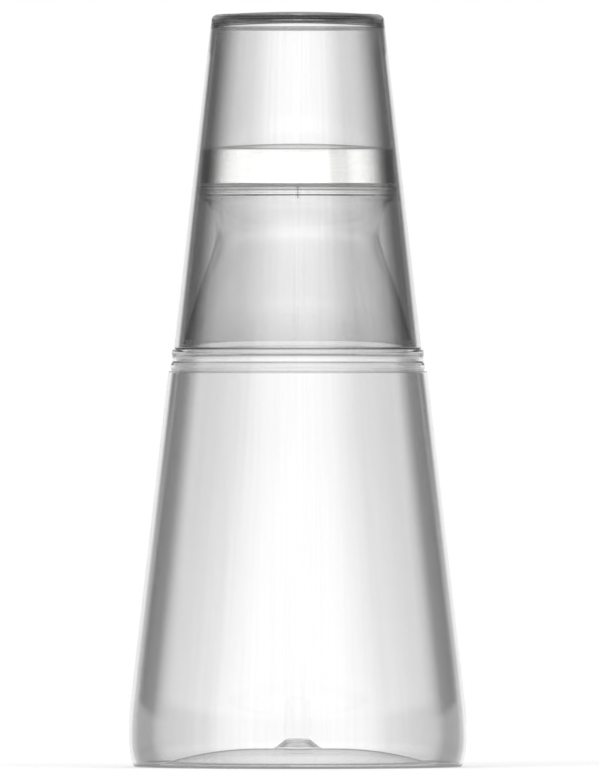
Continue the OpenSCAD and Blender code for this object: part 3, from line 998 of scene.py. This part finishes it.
nub_inner = [
    (nub_foot_r, floor_z, nub_edge),
    (nub_foot_r - nub_h / 4, floor_z + nub_h / 12, nub_edge),
    (nub_shoulder_r, nub_shoulder_z, nub_edge),
    (nub_top_r, floor_z + nub_h, eased),
    (dimple_r, floor_z + nub_h, eased),
    (dimple_r - dimple_depth / 3, floor_z + nub_h - dimple_depth, eased),
    (0, floor_z + nub_h - dimple_depth),
]
carafe_outline = [
    *underside, *body_outer, *band_outer, *neck_outer, *collar_outer, *mouth_outer,
    *collar_inner, *reversed(neck_inner), *body_inner, *nub_inner,
]
print("carafe outline:", len(carafe_outline), "points")

# %% [markdown]
# Beads and parting line with Geometry Nodes.
#
# Two bead rings run round the band below the ledge, and the mould's parting line shows as a fine
# upright ridge on the flange, front and back. Both could be drawn in the outline or joined on as
# rings, but both follow a rule, so a tree raises them out of the turned wall and stays one skin with
# it. Each point of the band looks up its nearest bead and rises by how close it lies to it. Above
# the middle of the last bead the band stays raised, up to the ledge that the tumbler stands on.

# %% How far the beads and the parting line rise
def bead_rise(tree, given, height, radius):
    """How far a point of the band rises towards the crown of its nearest bead."""
    steps_up = add_node(tree, "ShaderNodeMath", [height, given["First bead"]], operation="SUBTRACT")
    steps_up = add_node(tree, "ShaderNodeMath", [steps_up, given["Bead pitch"]], operation="DIVIDE")
    last = add_node(tree, "ShaderNodeMath", [given["Bead count"], 1], operation="SUBTRACT")
    steps_up = add_node(tree, "ShaderNodeMath", [steps_up, last], operation="MINIMUM")
    nearest = add_node(tree, "ShaderNodeMath", [steps_up], operation="ROUND")
    nearest = add_node(tree, "ShaderNodeMath", [nearest, 0], operation="MAXIMUM")
    off = add_node(tree, "ShaderNodeMath", [steps_up, nearest], operation="SUBTRACT")
    off = add_node(tree, "ShaderNodeMath", [off, given["Bead pitch"]], operation="MULTIPLY")
    half_bead = add_node(tree, "ShaderNodeMath", [given["Bead width"], 2], operation="DIVIDE")
    share = add_node(tree, "ShaderNodeMath", [off, half_bead], operation="DIVIDE")
    fall = add_node(tree, "ShaderNodeMath", [share, share], operation="MULTIPLY")
    crown = add_node(tree, "ShaderNodeMath", [1, fall], operation="SUBTRACT")
    crown = add_node(tree, "ShaderNodeMath", [crown, 0], operation="MAXIMUM")
    crown = add_node(tree, "ShaderNodeMath", [crown, crown], operation="MULTIPLY")
    on_band = add_node(tree, "ShaderNodeMath", [radius, given["Band radius"]], operation="GREATER_THAN")
    bead = add_node(tree, "ShaderNodeMath", [crown, given["Bead height"]], operation="MULTIPLY")
    return add_node(tree, "ShaderNodeMath", [bead, on_band], operation="MULTIPLY")


def parting_rise(tree, given, aside, height, radius):
    """How far a point of the flange rises towards the parting line."""
    aside = add_node(tree, "ShaderNodeMath", [aside], operation="ABSOLUTE")
    half_line = add_node(tree, "ShaderNodeMath", [given["Line width"], 2], operation="DIVIDE")
    aside = add_node(tree, "ShaderNodeMath", [aside, half_line], operation="DIVIDE")
    line = add_node(tree, "ShaderNodeMath", [1, aside], operation="SUBTRACT")
    line = add_node(tree, "ShaderNodeMath", [line, 0], operation="MAXIMUM")
    line = add_node(tree, "ShaderNodeMath", [line, given["Line height"]], operation="MULTIPLY")
    on_flange = add_node(tree, "ShaderNodeMath", [radius, given["Flange radius"]], operation="GREATER_THAN")
    above = add_node(tree, "ShaderNodeMath", [height, given["Line foot"]], operation="GREATER_THAN")
    below = add_node(tree, "ShaderNodeMath", [height, given["Line top"]], operation="LESS_THAN")
    for limit in (on_flange, above, below):
        line = add_node(tree, "ShaderNodeMath", [line, limit], operation="MULTIPLY")
    return line


bead_foot_w = 1.5 * bead_w  # a bead runs out softly, so its foot is wider than the bead itself
parting_foot_w = 2 * parting_w
first_bead_z = ledge_z - bead_foot_w / 2 - bead_pitch * (bead_count - 1)
crowns = [first_bead_z + bead_pitch * i for i in range(bead_count)]
print("bead crowns at heights in mm:", [round(z / MM, 1) for z in crowns])

# %% The tree that raises them
def build_relief_tree():
    """Raises bead rings on the band, and the parting line on the flange."""
    tree = new_geometry_tree("raise_beads_and_parting_line", [
        ("Bead count", "NodeSocketInt", bead_count),
        ("Bead pitch", "NodeSocketFloat", bead_pitch),
        ("Bead width", "NodeSocketFloat", bead_foot_w),
        ("Bead height", "NodeSocketFloat", bead_proud),
        ("First bead", "NodeSocketFloat", first_bead_z),
        ("Band radius", "NodeSocketFloat", ledge_r - wall - soft),
        ("Flange radius", "NodeSocketFloat", flange_r - 1.1 * collar_groove),
        ("Line width", "NodeSocketFloat", parting_foot_w),
        ("Line height", "NodeSocketFloat", parting_proud),
        ("Line foot", "NodeSocketFloat", throat_z + collar_groove),
        ("Line top", "NodeSocketFloat", flange_z - flange_slant),
    ])
    given = add_node(tree, "NodeGroupInput").outputs
    place = add_node(tree, "GeometryNodeInputPosition")
    part = add_node(tree, "ShaderNodeSeparateXYZ", [place]).outputs
    flat = add_node(tree, "ShaderNodeVectorMath", [place, (1, 1, 0)], operation="MULTIPLY")
    radius = add_node(tree, "ShaderNodeVectorMath", [flat], operation="LENGTH").outputs["Value"]
    outward = add_node(tree, "ShaderNodeVectorMath", [flat], operation="NORMALIZE")
    bead = bead_rise(tree, given, part["Z"], radius)
    line = parting_rise(tree, given, part["X"], part["Z"], radius)
    rise = add_node(tree, "ShaderNodeMath", [bead, line], operation="ADD")
    offset = add_node(tree, "ShaderNodeVectorMath", {0: outward, "Scale": rise}, operation="SCALE")
    raised = add_node(tree, "GeometryNodeSetPosition", {"Geometry": given["Mesh"], "Offset": offset})
    end_geometry_tree(tree, raised, given["Finish"])
    return tree


relief_tree = build_relief_tree()
print("relief tree:", len(relief_tree.nodes), "nodes")

# %% [markdown]
# The carafe itself.
#
# The blank is turned first and the relief raised on it second, as a mould is turned on a lathe before
# its details are cut. Both are trees, so the result stays one closed skin. The columns are crowded
# towards the front and back, so that the parting line has enough of them.

# %% Make the carafe
carafe_blank = turn_piece("carafe_blank", carafe_outline, carafe_finish, carafe_crowding)
carafe_piece = run_tree(carafe_blank, relief_tree, "carafe_moulding", {"Finish": carafe_finish})
print_volume(carafe_piece)

# %% [markdown]
# The tumbler.
#
# The tumbler is a plain clear beaker, here upside down, with its rim on the ledge. Its base is far
# thicker than its wall, which is what darkens it in the photograph, and both faces of the base are
# shallow domes. A cylinder with Solidify would give it one thickness all over, so it is turned from
# an outline too: from the middle of its ceiling, down the inside to the rim, and up the outside.

# %% Make the tumbler
base_edge_z = tumbler_top_z - base_dome - base_edge
base_edge_r = tumbler_outer_r(base_edge_z) - base_edge
inner_edge_z = ceiling_z - ceiling_dome - base_inner_edge
inner_edge_r = tumbler_inner_r(inner_edge_z) - base_inner_edge
inner_edge_stop = dome_edge_angle(ceiling_dome, inner_edge_r)
rim_z = ledge_z + touch_gap
tumbler_outline = [
    (0, ceiling_z - gate_h),
    (gate_r - gate_h / 3, ceiling_z - gate_h, eased),
    (gate_r, ceiling_z - gate_h / 2, eased),
    *reversed(dome(inner_edge_z + base_inner_edge, ceiling_dome, inner_edge_r, gate_r)),
    *reversed(arc((inner_edge_r, inner_edge_z), base_inner_edge, wall_angle, inner_edge_stop)),
    *arc((rim_inner_r + rim_edge, rim_z + rim_edge), rim_edge, 180 + wall_angle, 270),
    *arc((tumbler_outer_r(ledge_z) - rim_edge, rim_z + rim_edge), rim_edge, -90, wall_angle),
    *arc((base_edge_r, base_edge_z), base_edge, wall_angle, dome_edge_angle(base_dome, base_edge_r)),
    *dome(base_edge_z + base_edge, base_dome, base_edge_r, gate_dimple_r),
    (gate_dimple_r - gate_dimple_depth / 2, tumbler_top_z - gate_dimple_depth, eased),
    (0, tumbler_top_z - gate_dimple_depth),
]
tumbler_piece = turn_piece("tumbler_moulding", tumbler_outline, tumbler_finish)
print_volume(tumbler_piece)

# %% [markdown]
# Two tones for the lid's finishes.
#
# The lid has three pieces of three materials. No real surface is one flat colour: it wanders a little
# in tone, and where it is paler it is often smoother as well. An image could carry that, but a noise
# in the piece's own coordinates has no seams, and its scale is worked out from a size in millimetres.
# One helper lets a pattern move colour and roughness together.

# %% Let a pattern move colour and roughness
def two_tones(tree, shader, pattern, dark, light, smoothest, roughest):
    """Lets a pattern move the colour between two tones and the roughness between two values."""
    share = add_node(tree, "ShaderNodeMapRange", [pattern, *NOISE_SPREAD, 0, 1])
    tones = {0: share, 6: linear(dark), 7: linear(light)}
    colour = add_node(tree, "ShaderNodeMix", tones, data_type="RGBA")
    roughness = add_node(tree, "ShaderNodeMapRange", [share, 0, 1, roughest, smoothest])
    tree.links.new(colour.outputs[2], shader.inputs["Base Color"])
    tree.links.new(roughness.outputs[0], shader.inputs["Roughness"])


print("a noise runs through both tones from", NOISE_SPREAD[0], "to", NOISE_SPREAD[1])

# %% [markdown]
# Polished stainless steel.
#
# The shell is stainless steel 18/8, pressed and then polished while it turned, so it is near a mirror
# but carries fine lines round the axis. An anisotropic gloss would blur its reflections along one
# direction, but the lines themselves would be missing. So a noise is read at the point's radius and
# height, finely, and at its direction from the axis, coarsely, which draws it out into rings.

# %% Polished stainless steel
POLISH_PITCH = 0.3 * MM  # real polishing lines are finer than the eye can part, so these are coarser
POLISH_SWAY = 2.5
POLISH_DEPTH = 0.01 * MM


def polished_steel():
    """Stainless steel, pressed and polished while it turned: a mirror with fine lines round it."""
    material, tree, shader, coords = new_finish("polished_stainless_steel", metallic=1.0)
    place = coords["Object"]
    flat = add_node(tree, "ShaderNodeVectorMath", [place, (1, 1, 0)], operation="MULTIPLY")
    radius = add_node(tree, "ShaderNodeVectorMath", [flat], operation="LENGTH").outputs["Value"]
    height = add_node(tree, "ShaderNodeSeparateXYZ", [place]).outputs["Z"]
    section = add_node(tree, "ShaderNodeCombineXYZ", [radius, 0, height])
    across = add_node(tree, "ShaderNodeVectorMath", {
        0: section, "Scale": 1 / POLISH_PITCH}, operation="SCALE")
    outward = add_node(tree, "ShaderNodeVectorMath", [flat], operation="NORMALIZE")
    round_it = add_node(tree, "ShaderNodeVectorMath", {0: outward, "Scale": POLISH_SWAY}, operation="SCALE")
    line_place = add_node(tree, "ShaderNodeVectorMath", [across, round_it], operation="ADD")
    lines = add_node(tree, "ShaderNodeTexNoise", {"Vector": line_place, "Scale": 1, "Detail": 2})
    two_tones(tree, shader, lines, dark="#EFEFED", light="#F7F7F6", smoothest=0.06, roughest=0.12)
    bump = add_node(tree, "ShaderNodeBump", {"Strength": 0.06, "Distance": POLISH_DEPTH, "Height": lines})
    tree.links.new(bump.outputs[0], shader.inputs["Normal"])
    return material


shell_finish = polished_steel()
print("polishing lines:", round(1 * MM / POLISH_PITCH, 1), "to the millimetre")

# %% [markdown]
# Moulded polypropylene and soft silicone.
#
# The insert is white polypropylene from a mould with a fine eroded grain, which takes the shine off,
# and slow streaks show where the melt flowed. The seal is silicone, soft and matt, and it gathers a
# bloom of dust, which a little sheen gives. Both have a coarse noise for the tone and a fine one for
# the grain's bump.

# %% Moulded polypropylene and soft silicone
GRAIN = 0.35 * MM
GRAIN_DEPTH = 0.02 * MM
FLOW = 9 * MM
DUST_SHEEN = 0.15


def moulded_polypropylene():
    """White polypropylene from an eroded mould: a satin grain, with slow streaks where the melt flowed."""
    material, tree, shader, coords = new_finish("moulded_polypropylene")
    place = coords["Object"]
    flow = add_node(tree, "ShaderNodeTexNoise", {"Vector": place, "Scale": 1 / FLOW, "Detail": 3})
    two_tones(tree, shader, flow, dark="#EFEEEA", light="#F8F7F5", smoothest=0.38, roughest=0.48)
    grain = add_node(tree, "ShaderNodeTexNoise", {"Vector": place, "Scale": 1 / GRAIN, "Detail": 2})
    bump = add_node(tree, "ShaderNodeBump", {"Strength": 0.2, "Distance": GRAIN_DEPTH, "Height": grain})
    tree.links.new(bump.outputs[0], shader.inputs["Normal"])
    return material


def soft_silicone():
    """Translucent white silicone: matt, with a bloom of dust that shows as a faint sheen."""
    material, tree, shader, coords = new_finish("soft_silicone")
    place = coords["Object"]
    bloom = add_node(tree, "ShaderNodeTexNoise", {"Vector": place, "Scale": 2 / FLOW, "Detail": 5})
    two_tones(tree, shader, bloom, dark="#DDDCD9", light="#E8E7E4", smoothest=0.5, roughest=0.66)
    grain = add_node(tree, "ShaderNodeTexNoise", {"Vector": place, "Scale": 2 / GRAIN, "Detail": 1})
    bump = add_node(tree, "ShaderNodeBump", {
        "Strength": 0.15, "Distance": GRAIN_DEPTH / 2, "Height": grain})
    tree.links.new(bump.outputs[0], shader.inputs["Normal"])
    shader.inputs["Sheen Weight"].default_value = DUST_SHEEN
    return material


insert_finish = moulded_polypropylene()
seal_finish = soft_silicone()
print("grain across the insert's top:", round(60 * MM / GRAIN))

# %% [markdown]
# The lid's shell.
#
# The shell is a shallow cap, pressed from sheet, with its edge rolled in at the bottom, so that no
# raw edge shows. It stands a little above the flange, which leaves a dark line. A thin sheet could
# be a surface with Solidify, but the rolled hem is thicker than the sheet, so it is turned from a
# closed outline: the lining, the hem, and then the outside.

# %% Make the lid's shell
hem_z = shell_bottom_z + shell_t
hem_r = lid_r(shell_bottom_z)
hem_inner_r = hem_r - shell_t - shadow_depth / 2
hem_edge = 0.15 * MM
lid_edge_r = lid_r(lid_side_z) - lid_edge
lid_edge_stop = dome_edge_angle(lid_dome, lid_edge_r)
shell_top_z = lid_side_z + lid_edge
shell_lining = [
    (lid_r(hem_z) - shell_t, hem_z),
    *arc((lid_edge_r, lid_side_z), lid_edge - shell_t, wall_angle, lid_edge_stop),
    *dome(shell_top_z - shell_t, lid_dome, lid_edge_r),
]
shell_outline = [
    *reversed(shell_lining),
    (hem_inner_r, hem_z),
    (hem_inner_r, shell_bottom_z, crisp),
    (hem_r - shell_t / 3, shell_bottom_z, hem_edge),
    (hem_r, shell_bottom_z + shell_t / 3, hem_edge),
    *arc((lid_edge_r, lid_side_z), lid_edge, wall_angle, lid_edge_stop),
    *dome(shell_top_z, lid_dome, lid_edge_r),
]
shell_piece = turn_piece("lid_shell_pressing", shell_outline, shell_finish)
print_volume(shell_piece)

# %% [markdown]
# The lid's insert.
#
# The insert fills the shell, sits on the flange and plugs the mouth. Its upper line is the shell's
# own lining, moved in by a touch, so the two always fit. Its plug is a hollow cup with a groove for
# the seal. It is turned as well, because nothing on it leaves the round.

# %% Make the lid's insert
plug_r = mouth_r - plug_gap
plug_inner_r = plug_r - plug_wall
plug_bottom_z = mouth_z - plug_depth
seal_bottom_z = plug_bottom_z + (plug_depth - seal_h) / 2
seal_top_z = seal_bottom_z + seal_h
deck_z = mouth_z + insert_gap
seal_inner_r = plug_r - seal_depth
skirt_z = flange_z + touch_gap
insert_outline = [
    (0, deck_z),
    (plug_inner_r, deck_z, plug_edge),
    (plug_inner_r, plug_bottom_z, soft),
    (plug_r - insert_gap, plug_bottom_z, crisp),
    (plug_r, plug_bottom_z + insert_gap, crisp),
    (plug_r, seal_bottom_z, crisp),
    (seal_inner_r, seal_bottom_z, crisp),
    (seal_inner_r, seal_top_z, crisp),
    (plug_r, seal_top_z, crisp),
    (plug_r, deck_z, eased),
    (skirt_inner_r, deck_z, eased),
    (skirt_inner_r, skirt_z, crisp),
    (hem_inner_r - touch_gap, skirt_z, crisp),
    (hem_inner_r - touch_gap, hem_z + touch_gap),
    *[(max(r - touch_gap, 0), z - touch_gap) for r, z in shell_lining],
]
insert_piece = turn_piece("lid_insert_moulding", insert_outline, insert_finish)
print_volume(insert_piece)

# %% [markdown]
# The lid's seal.
#
# The seal is a ring of silicone that lies in the plug's groove and bulges towards the mouth's wall,
# where it would be squeezed. A torus would leave the groove half empty, so the ring has a square back
# and a round front.

# %% Make the lid's seal
seal_round = seal_h / 3
seal_bulge = 60  # degrees to each side
seal_middle = (mouth_r - seal_gap - seal_round, seal_bottom_z + seal_h / 2)
seal_outline = [
    (plug_r, seal_bottom_z + touch_gap),
    *arc(seal_middle, seal_round, -seal_bulge, seal_bulge),
    (plug_r, seal_top_z - touch_gap),
    (seal_inner_r + touch_gap, seal_top_z - touch_gap, crisp),
    (seal_inner_r + touch_gap, seal_bottom_z + touch_gap, crisp),
    (plug_r, seal_bottom_z + touch_gap),
]
seal_piece = turn_piece("lid_seal_ring", seal_outline, seal_finish)
print_volume(seal_piece)

# %% [markdown]
# Tying the pieces to the frame.
#
# The set comes apart by hand: the tumbler lifts off the ledge and the lid out of the mouth. Each
# piece is parented to an empty for the body that it belongs to, so it rides on that body, and it
# stands for its node of the frame, which is hidden. The table also names the material slot of each
# piece, which nothing here reads.

# %% Tie the pieces to the frame
for piece, body, node, slot in (
    (carafe_piece, "carafe", "carafe", "clear_carafe"),
    (shell_piece, "lid", "lid_shell", "polished_shell"),
    (insert_piece, "lid", "lid_insert", "white_insert"),
    (seal_piece, "lid", "lid_seal", "soft_seal"),
    (tumbler_piece, "tumbler", "tumbler", "clear_tumbler"),
):
    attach(piece, body)
    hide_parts(node)
    print(piece.name, "rides on", body, "and replaces", node)

# %% [markdown]
# The studio's surround.
#
# Clear ware is photographed in a white surround, with cards that draw soft bands in it. Real cards
# would stand in the way of other views, so the bands are part of the world here and follow nothing
# but a ray's direction. Only rays that have met glass or metal see them. The camera itself sees
# plain white, and matt surfaces get an even, plainer light. Light passes many walls on its way
# through the tumbler and the neck, so it is allowed more bounces than Blender's default.

# %% Bands of light
PEAK = 1.45
SIDE_GAIN = 1.35
SIDE_CARDS = (0.7, 0.97)  # how far to the side a ray looks where the bright cards begin and are full
CARD_FEET = (0.1, 0.145)  # how far up it looks where all cards begin and are full
BEHIND = (0.15, 0.5)  # how far back it looks where the bands behind the object take over
WHITE = linear("#FFFFFF")


def bands(*pairs):
    """Stops of brightness by how far up a ray looks. A ramp holds 1 at most, so the peak is divided out."""
    return greys(*[(up, brightness / PEAK) for up, brightness in pairs])


def surround(tree, way):
    """What a bent ray sees: bands before and behind the object, with darker and brighter side cards."""
    front = add_node(tree, "ShaderNodeValToRGB", [way["Z"]], stops=bands(
        (0.0, 1.0), (0.1, 1.0), (0.145, PEAK), (0.27, PEAK), (0.33, 0.62), (0.6, 0.62), (0.8, 0.9)))
    dark_card = add_node(tree, "ShaderNodeValToRGB", [way["X"]], stops=greys(
        (0.55, 1), (0.64, 0.8), (0.84, 0.8), (0.92, 1)))
    aside = add_node(tree, "ShaderNodeMath", [way["X"]], operation="ABSOLUTE")
    bright_card = add_node(tree, "ShaderNodeMapRange", [aside, *SIDE_CARDS, 1, SIDE_GAIN])
    cards = add_node(tree, "ShaderNodeVectorMath", {0: dark_card, "Scale": bright_card}, operation="SCALE")
    raised = add_node(tree, "ShaderNodeMapRange", [way["Z"], *CARD_FEET])
    cards = add_node(tree, "ShaderNodeMix", {0: raised, 6: WHITE, 7: cards}, data_type="RGBA").outputs[2]
    front = add_node(tree, "ShaderNodeVectorMath", [front, cards], operation="MULTIPLY")
    back = add_node(tree, "ShaderNodeValToRGB", [way["Z"]], stops=bands(
        (0.0, 1.0), (0.05, 1.0), (0.075, 0.3), (0.115, 0.3), (0.15, 0.65), (0.6, 0.6), (0.8, 0.9)))
    behind = add_node(tree, "ShaderNodeMapRange", [way["Y"], *BEHIND])
    around = add_node(tree, "ShaderNodeMix", {0: behind, 6: front, 7: back}, data_type="RGBA").outputs[2]
    return add_node(tree, "ShaderNodeVectorMath", {0: around, "Scale": PEAK}, operation="SCALE")


print("the brightest band is", PEAK, "times white")

# %% The world
EVEN_LIGHT = 0.55
scene = bpy.context.scene
scene.view_settings.view_transform = "Standard"
scene.cycles.max_bounces = 24
scene.cycles.transmission_bounces = 24
scene.cycles.glossy_bounces = 8

world = bpy.data.worlds.new("white_studio")
scene.world = world
world.use_nodes = True
sky = world.node_tree
sky.nodes.clear()
sky_ray = add_node(sky, "ShaderNodeLightPath").outputs
sky_bent = add_node(sky, "ShaderNodeMath", [sky_ray["Is Glossy Ray"], sky_ray["Is Transmission Ray"]],
                    operation="MAXIMUM")
sky_place = add_node(sky, "ShaderNodeTexCoord").outputs["Generated"]
sky_way = add_node(sky, "ShaderNodeSeparateXYZ", [sky_place]).outputs
even_light = (EVEN_LIGHT, EVEN_LIGHT, EVEN_LIGHT, 1)
lit = add_node(sky, "ShaderNodeMix", {0: sky_bent, 6: even_light, 7: surround(sky, sky_way)},
               data_type="RGBA").outputs[2]
seen = add_node(sky, "ShaderNodeMix", {0: sky_ray["Is Camera Ray"], 6: lit, 7: WHITE},
                data_type="RGBA").outputs[2]
background = add_node(sky, "ShaderNodeBackground", {"Color": seen, "Strength": 1.0})
add_node(sky, "ShaderNodeOutputWorld", {"Surface": background})
print("world tree:", len(sky.nodes), "nodes")

# %% [markdown]
# The floor.
#
# The set stands on a plain pale floor. Near the object the floor keeps its soft shadow, and further
# out it glows into the white of the background, so that no horizon shows. Glass and metal see it
# white, as they see the background. A shadow catcher could do it too, but it needs a transparent
# picture and a second step that lays it over white.

# %% Pale floor
FLOOR_R = 1.2
FLOOR_GREY = "#A8A8A8"
SHADOW_R = 0.22
WHITE_R = 0.5
SHADOW_GLOW = 0.5


def floor_finish():
    """A matt floor that keeps the shadow near the object and turns plain white away from it."""
    material = bpy.data.materials.new("pale_floor")
    material.use_nodes = True
    tree = material.node_tree
    tree.nodes.clear()
    place = add_node(tree, "ShaderNodeTexCoord").outputs["Object"]
    distance = add_node(tree, "ShaderNodeVectorMath", [place], operation="LENGTH").outputs["Value"]
    whiteness = add_node(tree, "ShaderNodeMapRange", [distance, SHADOW_R, WHITE_R, SHADOW_GLOW, 1])
    ray = add_node(tree, "ShaderNodeLightPath").outputs
    glow = add_node(tree, "ShaderNodeMath", [ray["Is Camera Ray"], whiteness], operation="MULTIPLY")
    matt = add_node(tree, "ShaderNodeBsdfDiffuse", {"Color": linear(FLOOR_GREY)})
    glowing = add_node(tree, "ShaderNodeEmission", {"Strength": glow})
    shaded = add_node(tree, "ShaderNodeAddShader", [matt, glowing])
    white = add_node(tree, "ShaderNodeEmission", {"Strength": 1.0})
    bent = [ray["Is Glossy Ray"], ray["Is Transmission Ray"]]
    bent = add_node(tree, "ShaderNodeMath", bent, operation="MAXIMUM")
    mixed = add_node(tree, "ShaderNodeMixShader", [bent, shaded, white])
    add_node(tree, "ShaderNodeOutputMaterial", {"Surface": mixed})
    return material


floor_mesh = bpy.data.meshes.new("studio_floor")
floor_shape = bmesh.new()
bmesh.ops.create_circle(floor_shape, cap_ends=True, radius=FLOOR_R, segments=128)
floor_shape.to_mesh(floor_mesh)
floor_shape.free()
floor_mesh.materials.append(floor_finish())
floor = bpy.data.objects.new("studio_floor", floor_mesh)
scene.collection.objects.link(floor)
print("floor:", 2 * FLOOR_R, "m across")

# %% [markdown]
# The lamps.
#
# Three softboxes give the shadow and the light on matt surfaces. Their mirror images in the plastic
# and the steel would be hard white patches that the photograph doesn't have, so they are hidden from
# glossy and bent rays. What these see comes from the world alone.

# %% Softboxes
aim = Vector((0, 0, 0.12))
for lamp_name, lamp_place, lamp_size, watts in (
    ("key_softbox", (-0.7, -0.7, 1.1), 0.7, 9),
    ("fill_softbox", (0.8, -0.5, 1.0), 0.7, 6),
    ("top_softbox", (0, 0.3, 1.4), 0.9, 9),
):
    lamp_data = bpy.data.lights.new(lamp_name, "AREA")
    lamp_data.size = lamp_size
    lamp_data.energy = watts
    lamp = bpy.data.objects.new(lamp_name, lamp_data)
    lamp.location = lamp_place
    lamp.visible_glossy = False
    lamp.visible_transmission = False
    lamp.rotation_mode = "QUATERNION"
    lamp.rotation_quaternion = (aim - Vector(lamp_place)).to_track_quat("-Z", "Y")
    scene.collection.objects.link(lamp)
    print(lamp_name, "stands", round((aim - Vector(lamp_place)).length, 2), "m from the object")
